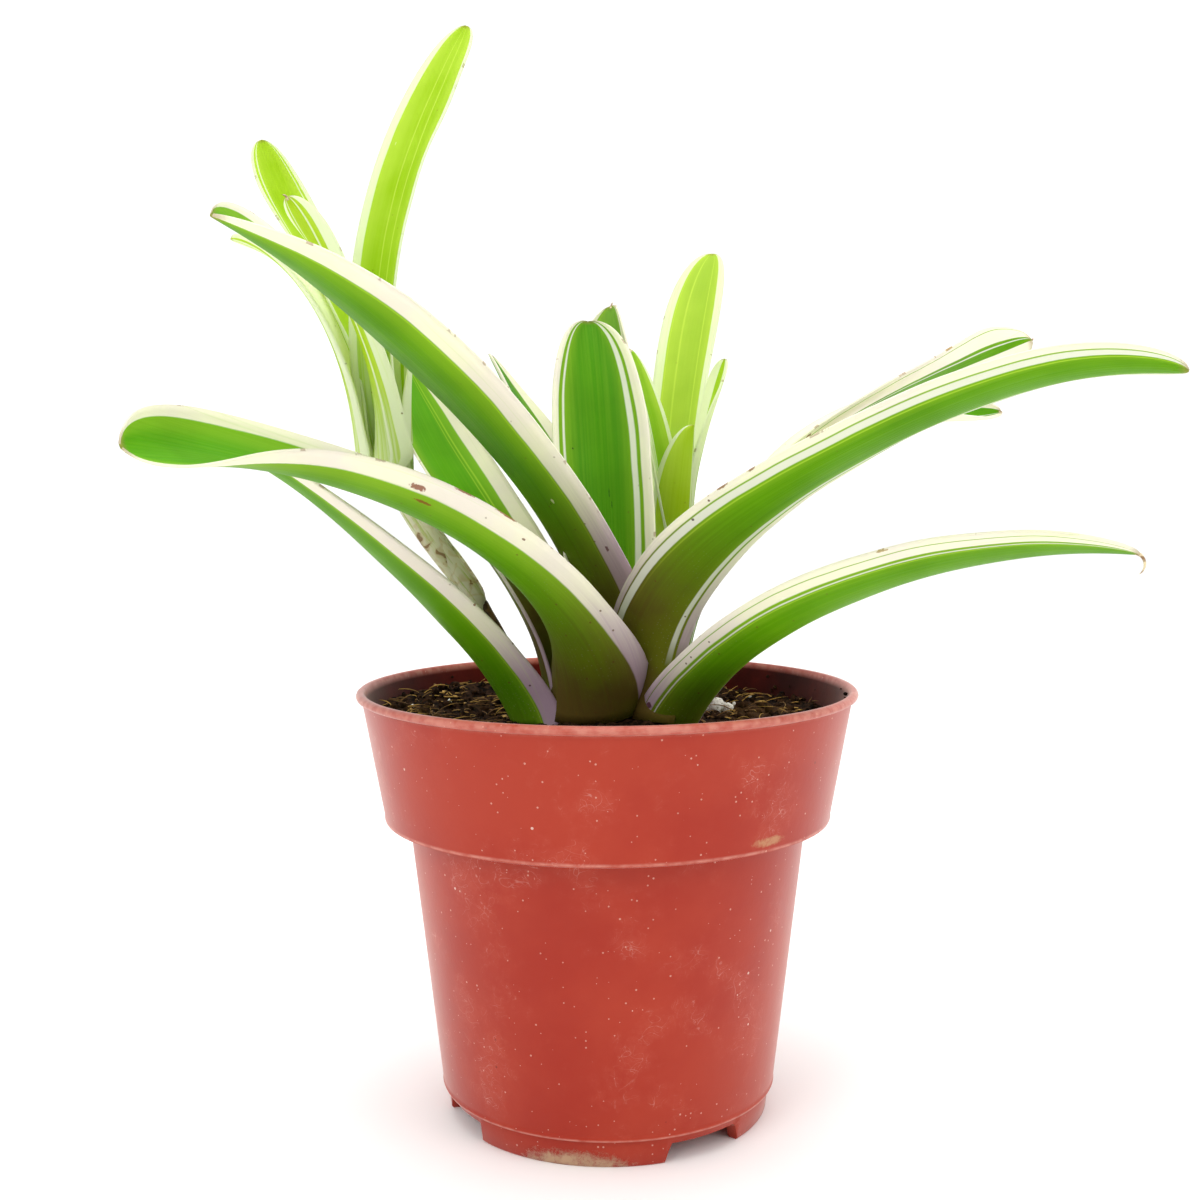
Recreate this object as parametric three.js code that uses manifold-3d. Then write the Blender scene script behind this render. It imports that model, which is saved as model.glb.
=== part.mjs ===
// Potted variegated bromeliad: a thin moulded nursery pot filled with peat, a rosette of channelled
// strap leaves round a short rootstock, and two young offsets carried on stolons.
// Millimetres, +Z up, -Y towards the front. The model is built round the pot axis and shifted at the end.
import * as THREE from 'three';
import Module from 'manifold-3d';

const wasm = await Module();
wasm.setup();

// ---- driving dimensions -------------------------------------------------------------------------
const GAP = 0.35;                 // clearance kept between neighbouring pieces
const POT_HEIGHT = 102.5;
const RIM_RADIUS = 60;
const RIM_INNER_RADIUS = 57.9;
const RIM_FLANGE = 1.9;           // height of the rolled lip
const COLLAR_TOP_RADIUS = 58.6;
const COLLAR_FOOT_RADIUS = 53.7;
const COLLAR_FOOT_Z = 71.9;
const BODY_TOP_RADIUS = 47.9;
const BODY_FOOT_RADIUS = 40.4;
const SEAM_Z = 6.9;               // moulding line above the foot ring
const FOOT_RADIUS = 38.6;
const WALL = 1.2;
const FLOOR_Z = 5.2;              // underside of the pot floor
const FLOOR_THICKNESS = 1.3;
const NOTCH_HEIGHT = 4.3;
const NOTCH_ANGLES = [-64, 34.5, 118, 206];   // middle of each foot notch, counted from the front
const NOTCH_SPAN = 30;
const DRAIN_RADIUS = 3.5;
const DRAIN_CIRCLE = 22;
const DRAIN_COUNT = 6;
const SOIL_TOP = 92.5;
const SOIL_LUMP = 1.1;            // height of the rises and dips of the peat
const SOIL_BANK = 2.8;            // how far the peat climbs towards the wall, highest at the left back
const ROOTSTOCK_RADIUS = 15;
const ROOTSTOCK_DEPTH = 20;
const LEAF_START_Z = SOIL_TOP + 1.9;
const LEAF_THICKNESS = 1.3;
const EDGE_THICKNESS = 0.8;
const TIP_THICKNESS = 0.7;
const TIP_CROWDING = 1.35;       // above 1, stations lie closer together towards the tip
const ROUND = 60;                 // facets round the pot

const rad = THREE.MathUtils.degToRad;
const group = new THREE.Group();
group.name = 'potted_bromeliad';
const plant = new THREE.Group();
group.add(plant);

// ---- helpers ------------------------------------------------------------------------------------
function solidFromArrays(positions, indices) {
  return new wasm.Manifold(new wasm.Mesh({
    numProp: 3,
    vertProperties: new Float32Array(positions),
    triVerts: new Uint32Array(indices),
  }));
}

function solidFromGeometry(geometry) {
  const position = geometry.attributes.position;
  const lookup = new Map();
  const points = [];
  const remap = [];
  for (let i = 0; i < position.count; i += 1) {
    const point = [position.getX(i), position.getY(i), position.getZ(i)];
    const key = point.map((value) => Math.round(value * 2000)).join();
    if (!lookup.has(key)) {
      lookup.set(key, points.length / 3);
      points.push(...point);
    }
    remap.push(lookup.get(key));
  }
  const source = geometry.index ? Array.from(geometry.index.array) : remap.map((_, i) => i);
  const triangles = [];
  for (let i = 0; i < source.length; i += 3) {
    const corner = [remap[source[i]], remap[source[i + 1]], remap[source[i + 2]]];
    if (new Set(corner).size === 3) triangles.push(...corner);
  }
  return solidFromArrays(points, triangles);
}

function lathe(profile, segments = ROUND) {
  const points = profile.map(([radius, z]) => new THREE.Vector2(radius, z));
  const geometry = new THREE.LatheGeometry(points, segments);
  geometry.rotateX(Math.PI / 2);
  let solid = solidFromGeometry(geometry);
  if (solid.volume() < 0) {
    const mesh = solid.getMesh();
    solid = solidFromArrays(mesh.vertProperties, Array.from(mesh.triVerts).reverse());
  }
  return solid;
}

function box(size, centre) {
  const geometry = new THREE.BoxGeometry(...size);
  geometry.translate(...centre);
  return solidFromGeometry(geometry);
}

function biggestPiece(solid) {
  const pieces = solid.decompose();
  pieces.sort((a, b) => b.volume() - a.volume());
  return pieces[0];
}

function addPiece(name, solid, color, roughness) {
  const mesh = solid.getMesh();
  const geometry = new THREE.BufferGeometry();
  geometry.setAttribute('position', new THREE.BufferAttribute(new Float32Array(mesh.vertProperties), 3));
  geometry.setIndex(Array.from(mesh.triVerts));
  const flat = geometry.toNonIndexed();
  flat.computeVertexNormals();
  const material = new THREE.MeshStandardMaterial({ color, roughness, metalness: 0, name });
  const node = new THREE.Mesh(flat, material);
  node.name = name;
  plant.add(node);
}

// value of a smooth curve with the given control values, s running from 0 to 1
function along(values, s) {
  let row = values;
  while (row.length > 1) row = row.slice(1).map((value, i) => row[i] * (1 - s) + value * s);
  return row[0];
}

function smooth(from, to, s) {
  const t = THREE.MathUtils.clamp((s - from) / (to - from), 0, 1);
  return t * t * (3 - 2 * t);
}

// ---- leaves -------------------------------------------------------------------------------------
// Each leaf starts at base [x, y, z], grows `length` along a line whose compass heading, rise above the
// horizontal and twist follow smooth curves in whole degrees, and is bent across into a channel whose
// half angle runs from `channel[0]` at the sheath to the last value at the tip.
const MAIN_LEAVES = [
  { name: 'leaf_front_left', base: [-5.6, -16, 95.6], length: 134, half: 16.1, heading: [258, 172, 189, 245],
    rise: [77, 33, 9, 4], twist: [3, -20, 35, -61], channel: [93, 64, 48], sheath: 1.25 },
  { name: 'leaf_low_right', base: [14.8, -13, 92.5], length: 122, half: 9.5, heading: [295, 321, 339, 330],
    rise: [50, 26, 20, -5], twist: [-13, -34, -21, -14], channel: [77, 30, 30], sheath: 1.1 },
  { name: 'leaf_low_left', base: [-19.7, -7.4, 92], length: 95, half: 10.3, heading: [203, 205, 197, 194],
    rise: [74, 27, 54, 29], twist: [12, 39, -12, 18], channel: [55, 18, 23], sheath: 1.2 },
  { name: 'leaf_long_right', base: [5.5, -11.2, 96.4], length: 159, half: 9.5, heading: [293, 317, 332, 328],
    rise: [89, -8, 54, -12], twist: [-79, -18, 2, -33], channel: [39, 17, 38], sheath: 1.3, neck: 1 },
  { name: 'leaf_high_left', base: [1.6, -8.3, 95.4], length: 153, half: 17.9, heading: [233, 214, 222, 226],
    rise: [80, 45, 38, 21], twist: [-13, -33, 17, -32], channel: [74, 19, 53], sheath: 1.2, neck: 1 },
  { name: 'leaf_centre', base: [-0.7, 3.8, 96], length: 98, half: 14,
    heading: [110, 105, 105, 100], rise: [92, 84, 84, 60],
    twist: [10, 0, -10, 0], channel: [80, 50, 60], sheath: 1 },
  { name: 'leaf_wide_back_left', base: [-13.7, 2.4, 93], length: 103, half: 13.7,
    heading: [169, 160, 150, 146], rise: [100, 40, 44, 74], twist: [-18, -3, -27, 8],
    channel: [70, 37, 39], sheath: 1.2 },
  { name: 'leaf_under_right', base: [18.5, -3, 94], length: 145, half: 8.5,
    heading: [16, 13, 60, 20], rise: [94, 53, -6, 7],
    twist: [-17, -44, -45, 73], channel: [63, 30, 90], sheath: 1.2 },
  { name: 'leaf_back_right', base: [11.2, 5, 94.4], length: 163, half: 14.3,
    heading: [34, 47, 24, 14], rise: [59, 73, -7, 26],
    twist: [-60, -72, 63, -82], channel: [60, 14, 33], sheath: 1.2 },
  { name: 'leaf_far_back', base: [0.6, 11, 95], length: 103, half: 12,
    heading: [87, 87, 87, 86], rise: [85, 81, 78, 76],
    twist: [3, -2, -17, -43], channel: [70, 48, 56], sheath: 1.2 },
  { name: 'leaf_back_left', base: [-5, 7.4, 95], length: 100, half: 10.5, heading: [125, 130, 136, 141],
    rise: [110, 68, 43, 56], twist: [1, 7, 17, 28], channel: [70, 44, 24], sheath: 1.2 },
];
const LEFT_OFFSET_LEAVES = [
  { name: 'left_lower_bract', base: [-28.5, 4.3, 119.5], length: 26, half: 7.5,
    heading: [182, 178, 174, 172],
    rise: [46, 50, 54, 58], twist: [0, 0, 0, 0], channel: [165, 160, 150], sheath: 0.55, neck: 0.95,
    tipStart: 0.4 },
  { name: 'left_upper_bract', base: [-38, 5, 131], length: 32, half: 9.5, heading: [180, 176, 172, 170],
    rise: [50, 53, 58, 68], twist: [0, 0, 0, 0], channel: [160, 150, 110], sheath: 0.5, neck: 1,
    tipStart: 0.4 },
  { name: 'left_offset_curled_leaf', base: [-60.2, 7, 152], length: 70, half: 6.3,
    heading: [190, 186, 180, 179], rise: [88, 82, 66, 14], twist: [-10, 0, -37, 24],
    channel: [80, 40, 12], sheath: 1.2, neck: 0.9 },
  { name: 'left_offset_folded_leaf', base: [-53.5, 1.2, 152], length: 70, half: 7.6,
    heading: [250, 205, 199, 199], rise: [90, 80, 55, 60], twist: [0, -15, -38, 50],
    channel: [80, 60, 40], sheath: 1.15, neck: 0.9 },
  { name: 'left_offset_tall_leaf', base: [-51, 13.1, 154.1], length: 118, half: 8.7,
    heading: [72, 50, 42, 40], rise: [122, 75, 64, 60], twist: [-9, -3, 11, 25],
    channel: [63, 48, 20], sheath: 0.9, neck: 0.9 },
  { name: 'left_offset_blunt_leaf', base: [-56.5, 12, 156], length: 88, half: 8,
    heading: [130, 160, 165, 167], rise: [92, 58, 50, 74], twist: [1, -2, -4, -50],
    channel: [70, 38, 26], sheath: 0.9, neck: 0.9 },
  { name: 'left_offset_side_sheath', base: [-47.4, 7.5, 153], length: 40, half: 6.5,
    heading: [0, 20, 40, 60], rise: [90, 96, 92, 85], twist: [0, 0, 0, 0],
    channel: [75, 60, 50], sheath: 1, neck: 0.95 },
];
const RIGHT_OFFSET_LEAVES = [
  { name: 'right_offset_sheath', base: [19, 24.5, 126], length: 40, half: 9, heading: [300, 310, 320, 330],
    rise: [86, 86, 84, 80], twist: [0, 0, 0, 0], channel: [120, 90, 60], sheath: 1, neck: 1, tipStart: 0.4 },
  { name: 'right_offset_tall_leaf', base: [16.8, 33.1, 133], length: 90, half: 8.9,
    heading: [75, 73, 69, 59], rise: [68, 74, 72, 50], twist: [-40, -17, 1, 8],
    channel: [61, 36, 36], sheath: 0.9, neck: 0.9 },
  { name: 'right_offset_inner_leaf', base: [15.3, 28, 134.2], length: 52, half: 6.9,
    heading: [223, 197, 184, 172], rise: [89, 78, 80, 71], twist: [-69, -59, -28, -15],
    channel: [77, 19, 18], sheath: 0.9, neck: 0.9 },
  { name: 'right_offset_small_leaf', base: [22.8, 29, 132], length: 52, half: 5.4,
    heading: [20, 10, 4, 1], rise: [100, 78, 69, 77], twist: [-5, -21, -10, 42],
    channel: [60, 39, 37], sheath: 0.9, neck: 0.9 },
];
const STOLONS = [
  { name: 'left_stolon', radius: 1.6,
    path: [[-18.5, 6, 94.5], [-26, 4.5, 112], [-33, 3, 127], [-52, 5, 136], [-53, 8, 158]] },
  { name: 'right_stolon', radius: 1.6,
    path: [[11, 17, 94.5], [13, 20, 108], [14, 24, 118], [18, 26, 130], [18, 28.5, 142]] },
];

const LEAF_DEFAULTS = { neck: 0.95, tipStart: 0.6, tipPower: 2.5 };

// half width of a leaf at s, as a share of its widest half width
function outline(leaf, s) {
  const toNeck = THREE.MathUtils.lerp(leaf.sheath, leaf.neck, smooth(0, 0.22, s));
  const blade = toNeck + (1 - leaf.neck) * smooth(0.15, 0.5, s);
  const past = THREE.MathUtils.clamp((s - leaf.tipStart) / (1 - leaf.tipStart), 0, 1);
  return blade * Math.sqrt(Math.max(1 - past ** leaf.tipPower, 0.0016));
}

function leafFrames(leaf, stations) {
  const frames = [];
  const point = new THREE.Vector3(...leaf.base);
  const fine = 4;
  let previous = null;
  let reached = 0;
  for (let i = 0; i <= stations * fine; i += 1) {
    const s = 1 - (1 - i / (stations * fine)) ** TIP_CROWDING;
    const step = leaf.length * (s - reached);
    reached = s;
    const heading = rad(along(leaf.heading, s));
    const rise = rad(along(leaf.rise, s));
    const twist = rad(along(leaf.twist, s));
    const tangent = new THREE.Vector3(
      Math.cos(rise) * Math.cos(heading),
      Math.cos(rise) * Math.sin(heading),
      Math.sin(rise),
    );
    if (previous) point.addScaledVector(tangent, step / 2).addScaledVector(previous, step / 2);
    previous = tangent;
    const level = new THREE.Vector3(-Math.sin(heading), Math.cos(heading), 0);
    const upper = tangent.clone().cross(level);
    const side = level.clone().multiplyScalar(Math.cos(twist)).addScaledVector(upper, Math.sin(twist));
    const inward = upper.clone().multiplyScalar(Math.cos(twist)).addScaledVector(level, -Math.sin(twist));
    if (i % fine === 0) frames.push({ s, point: point.clone(), side, inward });
  }
  return frames;
}

// closed shell of a leaf, `extra` mm fatter all round than the leaf itself
function leafSolid(spec, extra = 0, stations = 15, across = 4) {
  const leaf = { ...LEAF_DEFAULTS, ...spec };
  const frames = leafFrames(leaf, stations);
  const upperSkin = [];
  const underSkin = [];
  for (const { s, point, side, inward } of frames) {
    const half = leaf.half * outline(leaf, s) + extra;
    const bend = Math.max(rad(along(leaf.channel, s)), 0.02);
    for (let j = 0; j <= across; j += 1) {
      const t = (2 * j) / across - 1;
      const angle = bend * t;
      const lateral = (half * Math.sin(angle)) / bend;
      const lift = (half * (1 - Math.cos(angle))) / bend;
      const middle = THREE.MathUtils.lerp(LEAF_THICKNESS, TIP_THICKNESS, smooth(0.5, 1, s));
      const thickness = THREE.MathUtils.lerp(middle, Math.min(middle, EDGE_THICKNESS), t * t) / 2 + extra;
      const centre = point.clone().addScaledVector(side, lateral).addScaledVector(inward, lift);
      const normal = inward.clone().multiplyScalar(Math.cos(angle)).addScaledVector(side, -Math.sin(angle));
      upperSkin.push(centre.clone().addScaledVector(normal, thickness));
      underSkin.push(centre.clone().addScaledVector(normal, -thickness));
    }
  }
  const skins = [...upperSkin, ...underSkin];
  const positions = skins.flatMap((vertex) => vertex.toArray());
  const triangles = [];
  const row = across + 1;
  const under = upperSkin.length;
  const quad = (a, b, c, d) => triangles.push(a, b, c, a, c, d);
  for (let i = 0; i < stations; i += 1) {
    const near = i * row;
    const far = near + row;
    for (let j = 0; j < across; j += 1) {
      quad(near + j, far + j, far + j + 1, near + j + 1);
      quad(under + near + j, under + near + j + 1, under + far + j + 1, under + far + j);
    }
    quad(near, under + near, under + far, far);
    quad(near + across, far + across, under + far + across, under + near + across);
  }
  const last = stations * row;
  for (let j = 0; j < across; j += 1) {
    quad(j, j + 1, under + j + 1, under + j);
    quad(last + j, under + last + j, under + last + j + 1, last + j + 1);
  }
  let solid = solidFromArrays(positions, triangles);
  if (solid.volume() < 0) {
    solid = solidFromArrays(positions, triangles.reverse());
  }
  return solid;
}

// round rod along a smooth path, closed at both ends, `extra` mm fatter all round
function rodSolid(spec, extra = 0, stations = 12, facets = 10) {
  const positions = [];
  const triangles = [];
  const at = (s) => new THREE.Vector3(...[0, 1, 2].map((axis) => along(spec.path.map((p) => p[axis]), s)));
  for (let i = 0; i <= stations; i += 1) {
    const s = i / stations;
    const centre = at(s);
    const tangent = at(s + 0.01).sub(at(s - 0.01)).normalize();
    const across = new THREE.Vector3(0, 1, 0).cross(tangent).normalize();
    const depth = tangent.clone().cross(across);
    const radius = spec.radius + extra;
    for (let j = 0; j < facets; j += 1) {
      const angle = (2 * Math.PI * j) / facets;
      const rim = centre.clone();
      rim.addScaledVector(across, radius * Math.cos(angle)).addScaledVector(depth, radius * Math.sin(angle));
      positions.push(...rim.toArray());
    }
  }
  for (let i = 0; i < stations; i += 1) {
    for (let j = 0; j < facets; j += 1) {
      const a = i * facets + j;
      const b = i * facets + ((j + 1) % facets);
      triangles.push(a, b, b + facets, a, b + facets, a + facets);
    }
  }
  const top = stations * facets;
  for (let j = 1; j < facets - 1; j += 1) {
    triangles.push(0, j + 1, j);
    triangles.push(top, top + j, top + j + 1);
  }
  return solidFromArrays(positions, triangles);
}

// ---- pot ----------------------------------------------------------------------------------------
function footNotch(angle) {
  const depth = FOOT_RADIUS * 0.5;
  const width = 2 * FOOT_RADIUS * Math.sin(rad(NOTCH_SPAN / 2));
  const geometry = new THREE.BoxGeometry(width, depth, NOTCH_HEIGHT + 2);
  geometry.translate(0, -(FOOT_RADIUS + 2 - depth / 2 + 2), NOTCH_HEIGHT / 2 - 1);
  geometry.rotateZ(rad(angle));
  return solidFromGeometry(geometry);
}

function drainHole(angle) {
  const geometry = new THREE.CylinderGeometry(DRAIN_RADIUS, DRAIN_RADIUS, 12, 20);
  geometry.rotateX(Math.PI / 2);
  geometry.translate(0, -DRAIN_CIRCLE, FLOOR_Z);
  geometry.rotateZ(rad(angle));
  return solidFromGeometry(geometry);
}

function makePot() {
  const floorTop = FLOOR_Z + FLOOR_THICKNESS;
  const lipBottom = POT_HEIGHT - RIM_FLANGE;
  let pot = lathe([
    [0, FLOOR_Z],
    [FOOT_RADIUS - 2.2, FLOOR_Z],
    [FOOT_RADIUS - 2.6, 0],
    [FOOT_RADIUS, 0],
    [FOOT_RADIUS + 0.8, SEAM_Z - 0.6],
    [BODY_FOOT_RADIUS + 0.2, SEAM_Z - 0.3],
    [BODY_FOOT_RADIUS, SEAM_Z + 0.4],
    [BODY_TOP_RADIUS, COLLAR_FOOT_Z - 0.6],
    [COLLAR_FOOT_RADIUS - 0.6, COLLAR_FOOT_Z - 0.3],
    [COLLAR_FOOT_RADIUS, COLLAR_FOOT_Z + 0.3],
    [COLLAR_TOP_RADIUS, lipBottom],
    [RIM_RADIUS - 0.3, lipBottom],
    [RIM_RADIUS, lipBottom + 0.4],
    [RIM_RADIUS - 0.2, POT_HEIGHT - 0.5],
    [RIM_RADIUS - 0.8, POT_HEIGHT],
    [RIM_INNER_RADIUS + 0.3, POT_HEIGHT],
    [RIM_INNER_RADIUS, POT_HEIGHT - 0.4],
    [COLLAR_TOP_RADIUS - WALL - 0.1, lipBottom - 0.5],
    [COLLAR_FOOT_RADIUS - WALL, COLLAR_FOOT_Z + 1.4],
    [BODY_TOP_RADIUS - WALL, COLLAR_FOOT_Z + 0.6],
    [FOOT_RADIUS + 0.4, floorTop + 0.6],
    [FOOT_RADIUS - 0.6, floorTop],
    [0, floorTop],
  ]);
  for (const angle of NOTCH_ANGLES) pot = pot.subtract(footNotch(angle));
  for (let i = 0; i < DRAIN_COUNT; i += 1) pot = pot.subtract(drainHole((360 / DRAIN_COUNT) * (i + 0.5)));
  return pot;
}

// ---- peat and rootstock -------------------------------------------------------------------------
function soilHeight(x, y) {
  const broad = Math.sin(x * 0.11 + 0.7) + Math.cos(y * 0.13 - x * 0.05);
  const fine = 0.5 * Math.sin(x * 0.37 - y * 0.29) + 0.4 * Math.cos(x * 0.23 + y * 0.51);
  const bank = THREE.MathUtils.smoothstep(Math.hypot(x, y), 24, 54);
  const left = bank * THREE.MathUtils.clamp((y - x) / 56, -0.4, 1);
  return SOIL_LUMP * 0.35 * (broad + fine) + SOIL_BANK * bank + left * SOIL_BANK * 0.6;
}

function makeSoil() {
  const inside = WALL + GAP;
  const geometry = new THREE.LatheGeometry([
    [0, FLOOR_Z + FLOOR_THICKNESS + GAP],
    [FOOT_RADIUS - 1.2, FLOOR_Z + FLOOR_THICKNESS + GAP],
    [FOOT_RADIUS, FLOOR_Z + FLOOR_THICKNESS + 1.5],
    [BODY_TOP_RADIUS - inside - 0.1, COLLAR_FOOT_Z + 0.4],
    [BODY_TOP_RADIUS - inside, COLLAR_FOOT_Z + 2.2],
    [COLLAR_FOOT_RADIUS - inside - 0.2, COLLAR_FOOT_Z + 2.6],
    [COLLAR_TOP_RADIUS - inside - 1.6, SOIL_TOP],
    ...[50, 43, 36, 29, 22, 12, 5].map((radius) => [radius, SOIL_TOP]),
    [0, SOIL_TOP],
  ].map(([radius, z]) => new THREE.Vector2(radius, z)), 40);
  geometry.rotateX(Math.PI / 2);
  const position = geometry.attributes.position;
  for (let i = 0; i < position.count; i += 1) {
    if (position.getZ(i) > SOIL_TOP - 1) {
      position.setZ(i, SOIL_TOP + soilHeight(position.getX(i), position.getY(i)));
    }
  }
  let soil = solidFromGeometry(geometry);
  if (soil.volume() < 0) {
    const mesh = soil.getMesh();
    soil = solidFromArrays(mesh.vertProperties, Array.from(mesh.triVerts).reverse());
  }
  return soil.subtract(makeRootstock(GAP));
}

function makeRootstock(extra = 0) {
  const top = LEAF_START_Z - GAP;
  return lathe([
    [0, top - ROOTSTOCK_DEPTH - extra],
    [ROOTSTOCK_RADIUS * 0.35 + extra, top - ROOTSTOCK_DEPTH - extra],
    [ROOTSTOCK_RADIUS * 0.8 + extra, top - ROOTSTOCK_DEPTH * 0.55],
    [ROOTSTOCK_RADIUS + extra, top - 3],
    [ROOTSTOCK_RADIUS - 0.8 + extra, top + extra * 2],
    [0, top + extra * 2],
  ], 28);
}

// ---- assembly -----------------------------------------------------------------------------------
const GREEN = '#5a9a1c';
const PUP_GREEN = '#9ccc2c';
const COLORS = {
  left_lower_bract: '#d9cda6',
  left_upper_bract: '#d8c896',
  left_offset_side_sheath: '#d5e2b0',
  right_offset_sheath: '#b5d878',
};

addPiece('pot', makePot(), '#b54432', 0.5);
addPiece('soil', makeSoil(), '#3d2c22', 0.95);
addPiece('rootstock', makeRootstock(), '#5b4a33', 0.8);

const below = box([200, 200, 60], [0, 0, LEAF_START_Z - 30]);
const grown = [];

// neighbours already in place keep their shape; a later piece is cut back to leave the gap
function grow(name, solidOf, color, roughness) {
  let solid = solidOf(0).subtract(below);
  for (const other of grown) {
    if (solid.intersect(other).volume() > 0) solid = solid.subtract(other);
  }
  addPiece(name, biggestPiece(solid), color, roughness);
  grown.push(solidOf(GAP));
}

for (const leaf of MAIN_LEAVES) grow(leaf.name, (extra) => leafSolid(leaf, extra), GREEN, 0.42);
for (const rod of STOLONS) grow(rod.name, (extra) => rodSolid(rod, extra), '#6b4a2c', 0.7);
for (const leaf of [...LEFT_OFFSET_LEAVES, ...RIGHT_OFFSET_LEAVES]) {
  grow(leaf.name, (extra) => leafSolid(leaf, extra), COLORS[leaf.name] ?? PUP_GREEN, 0.45);
}

// origin: middle of the footprint of the whole plant, on the surface that the pot stands on
const bounds = new THREE.Box3().setFromObject(plant);
const shift = bounds.getCenter(new THREE.Vector3());
plant.position.set(-shift.x, -shift.y, -bounds.min.z);

export default group;
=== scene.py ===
"""Looks of a potted variegated bromeliad: a rosette of strap leaves, two offsets, peat and a nursery pot.

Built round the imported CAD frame, in metres, +Z up, -Y to the front.
"""

import math
import random

import bmesh
import bpy
from mathutils import Matrix, Vector, noise


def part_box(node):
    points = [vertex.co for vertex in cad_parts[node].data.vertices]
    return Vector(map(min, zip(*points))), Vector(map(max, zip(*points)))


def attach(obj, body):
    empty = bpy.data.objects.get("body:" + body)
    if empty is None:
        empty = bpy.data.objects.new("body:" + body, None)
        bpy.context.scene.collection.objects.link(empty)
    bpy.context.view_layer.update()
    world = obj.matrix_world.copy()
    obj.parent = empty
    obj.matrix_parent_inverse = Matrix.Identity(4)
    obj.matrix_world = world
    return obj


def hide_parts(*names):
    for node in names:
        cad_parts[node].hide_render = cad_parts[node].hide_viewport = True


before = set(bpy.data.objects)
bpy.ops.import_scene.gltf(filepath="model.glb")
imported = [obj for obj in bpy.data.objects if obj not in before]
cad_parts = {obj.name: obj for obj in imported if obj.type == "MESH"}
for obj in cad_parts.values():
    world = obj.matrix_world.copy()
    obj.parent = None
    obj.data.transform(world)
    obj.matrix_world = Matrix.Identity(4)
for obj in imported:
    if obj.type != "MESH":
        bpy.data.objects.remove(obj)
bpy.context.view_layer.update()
MM = 0.001
BODY = "root"

# ---- where things stand --------------------------------------------------------------------------
pot_low, pot_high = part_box("pot")
POT_AXIS = Vector(((pot_low[0] + pot_high[0]) / 2, (pot_low[1] + pot_high[1]) / 2, pot_low[2]))

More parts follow.
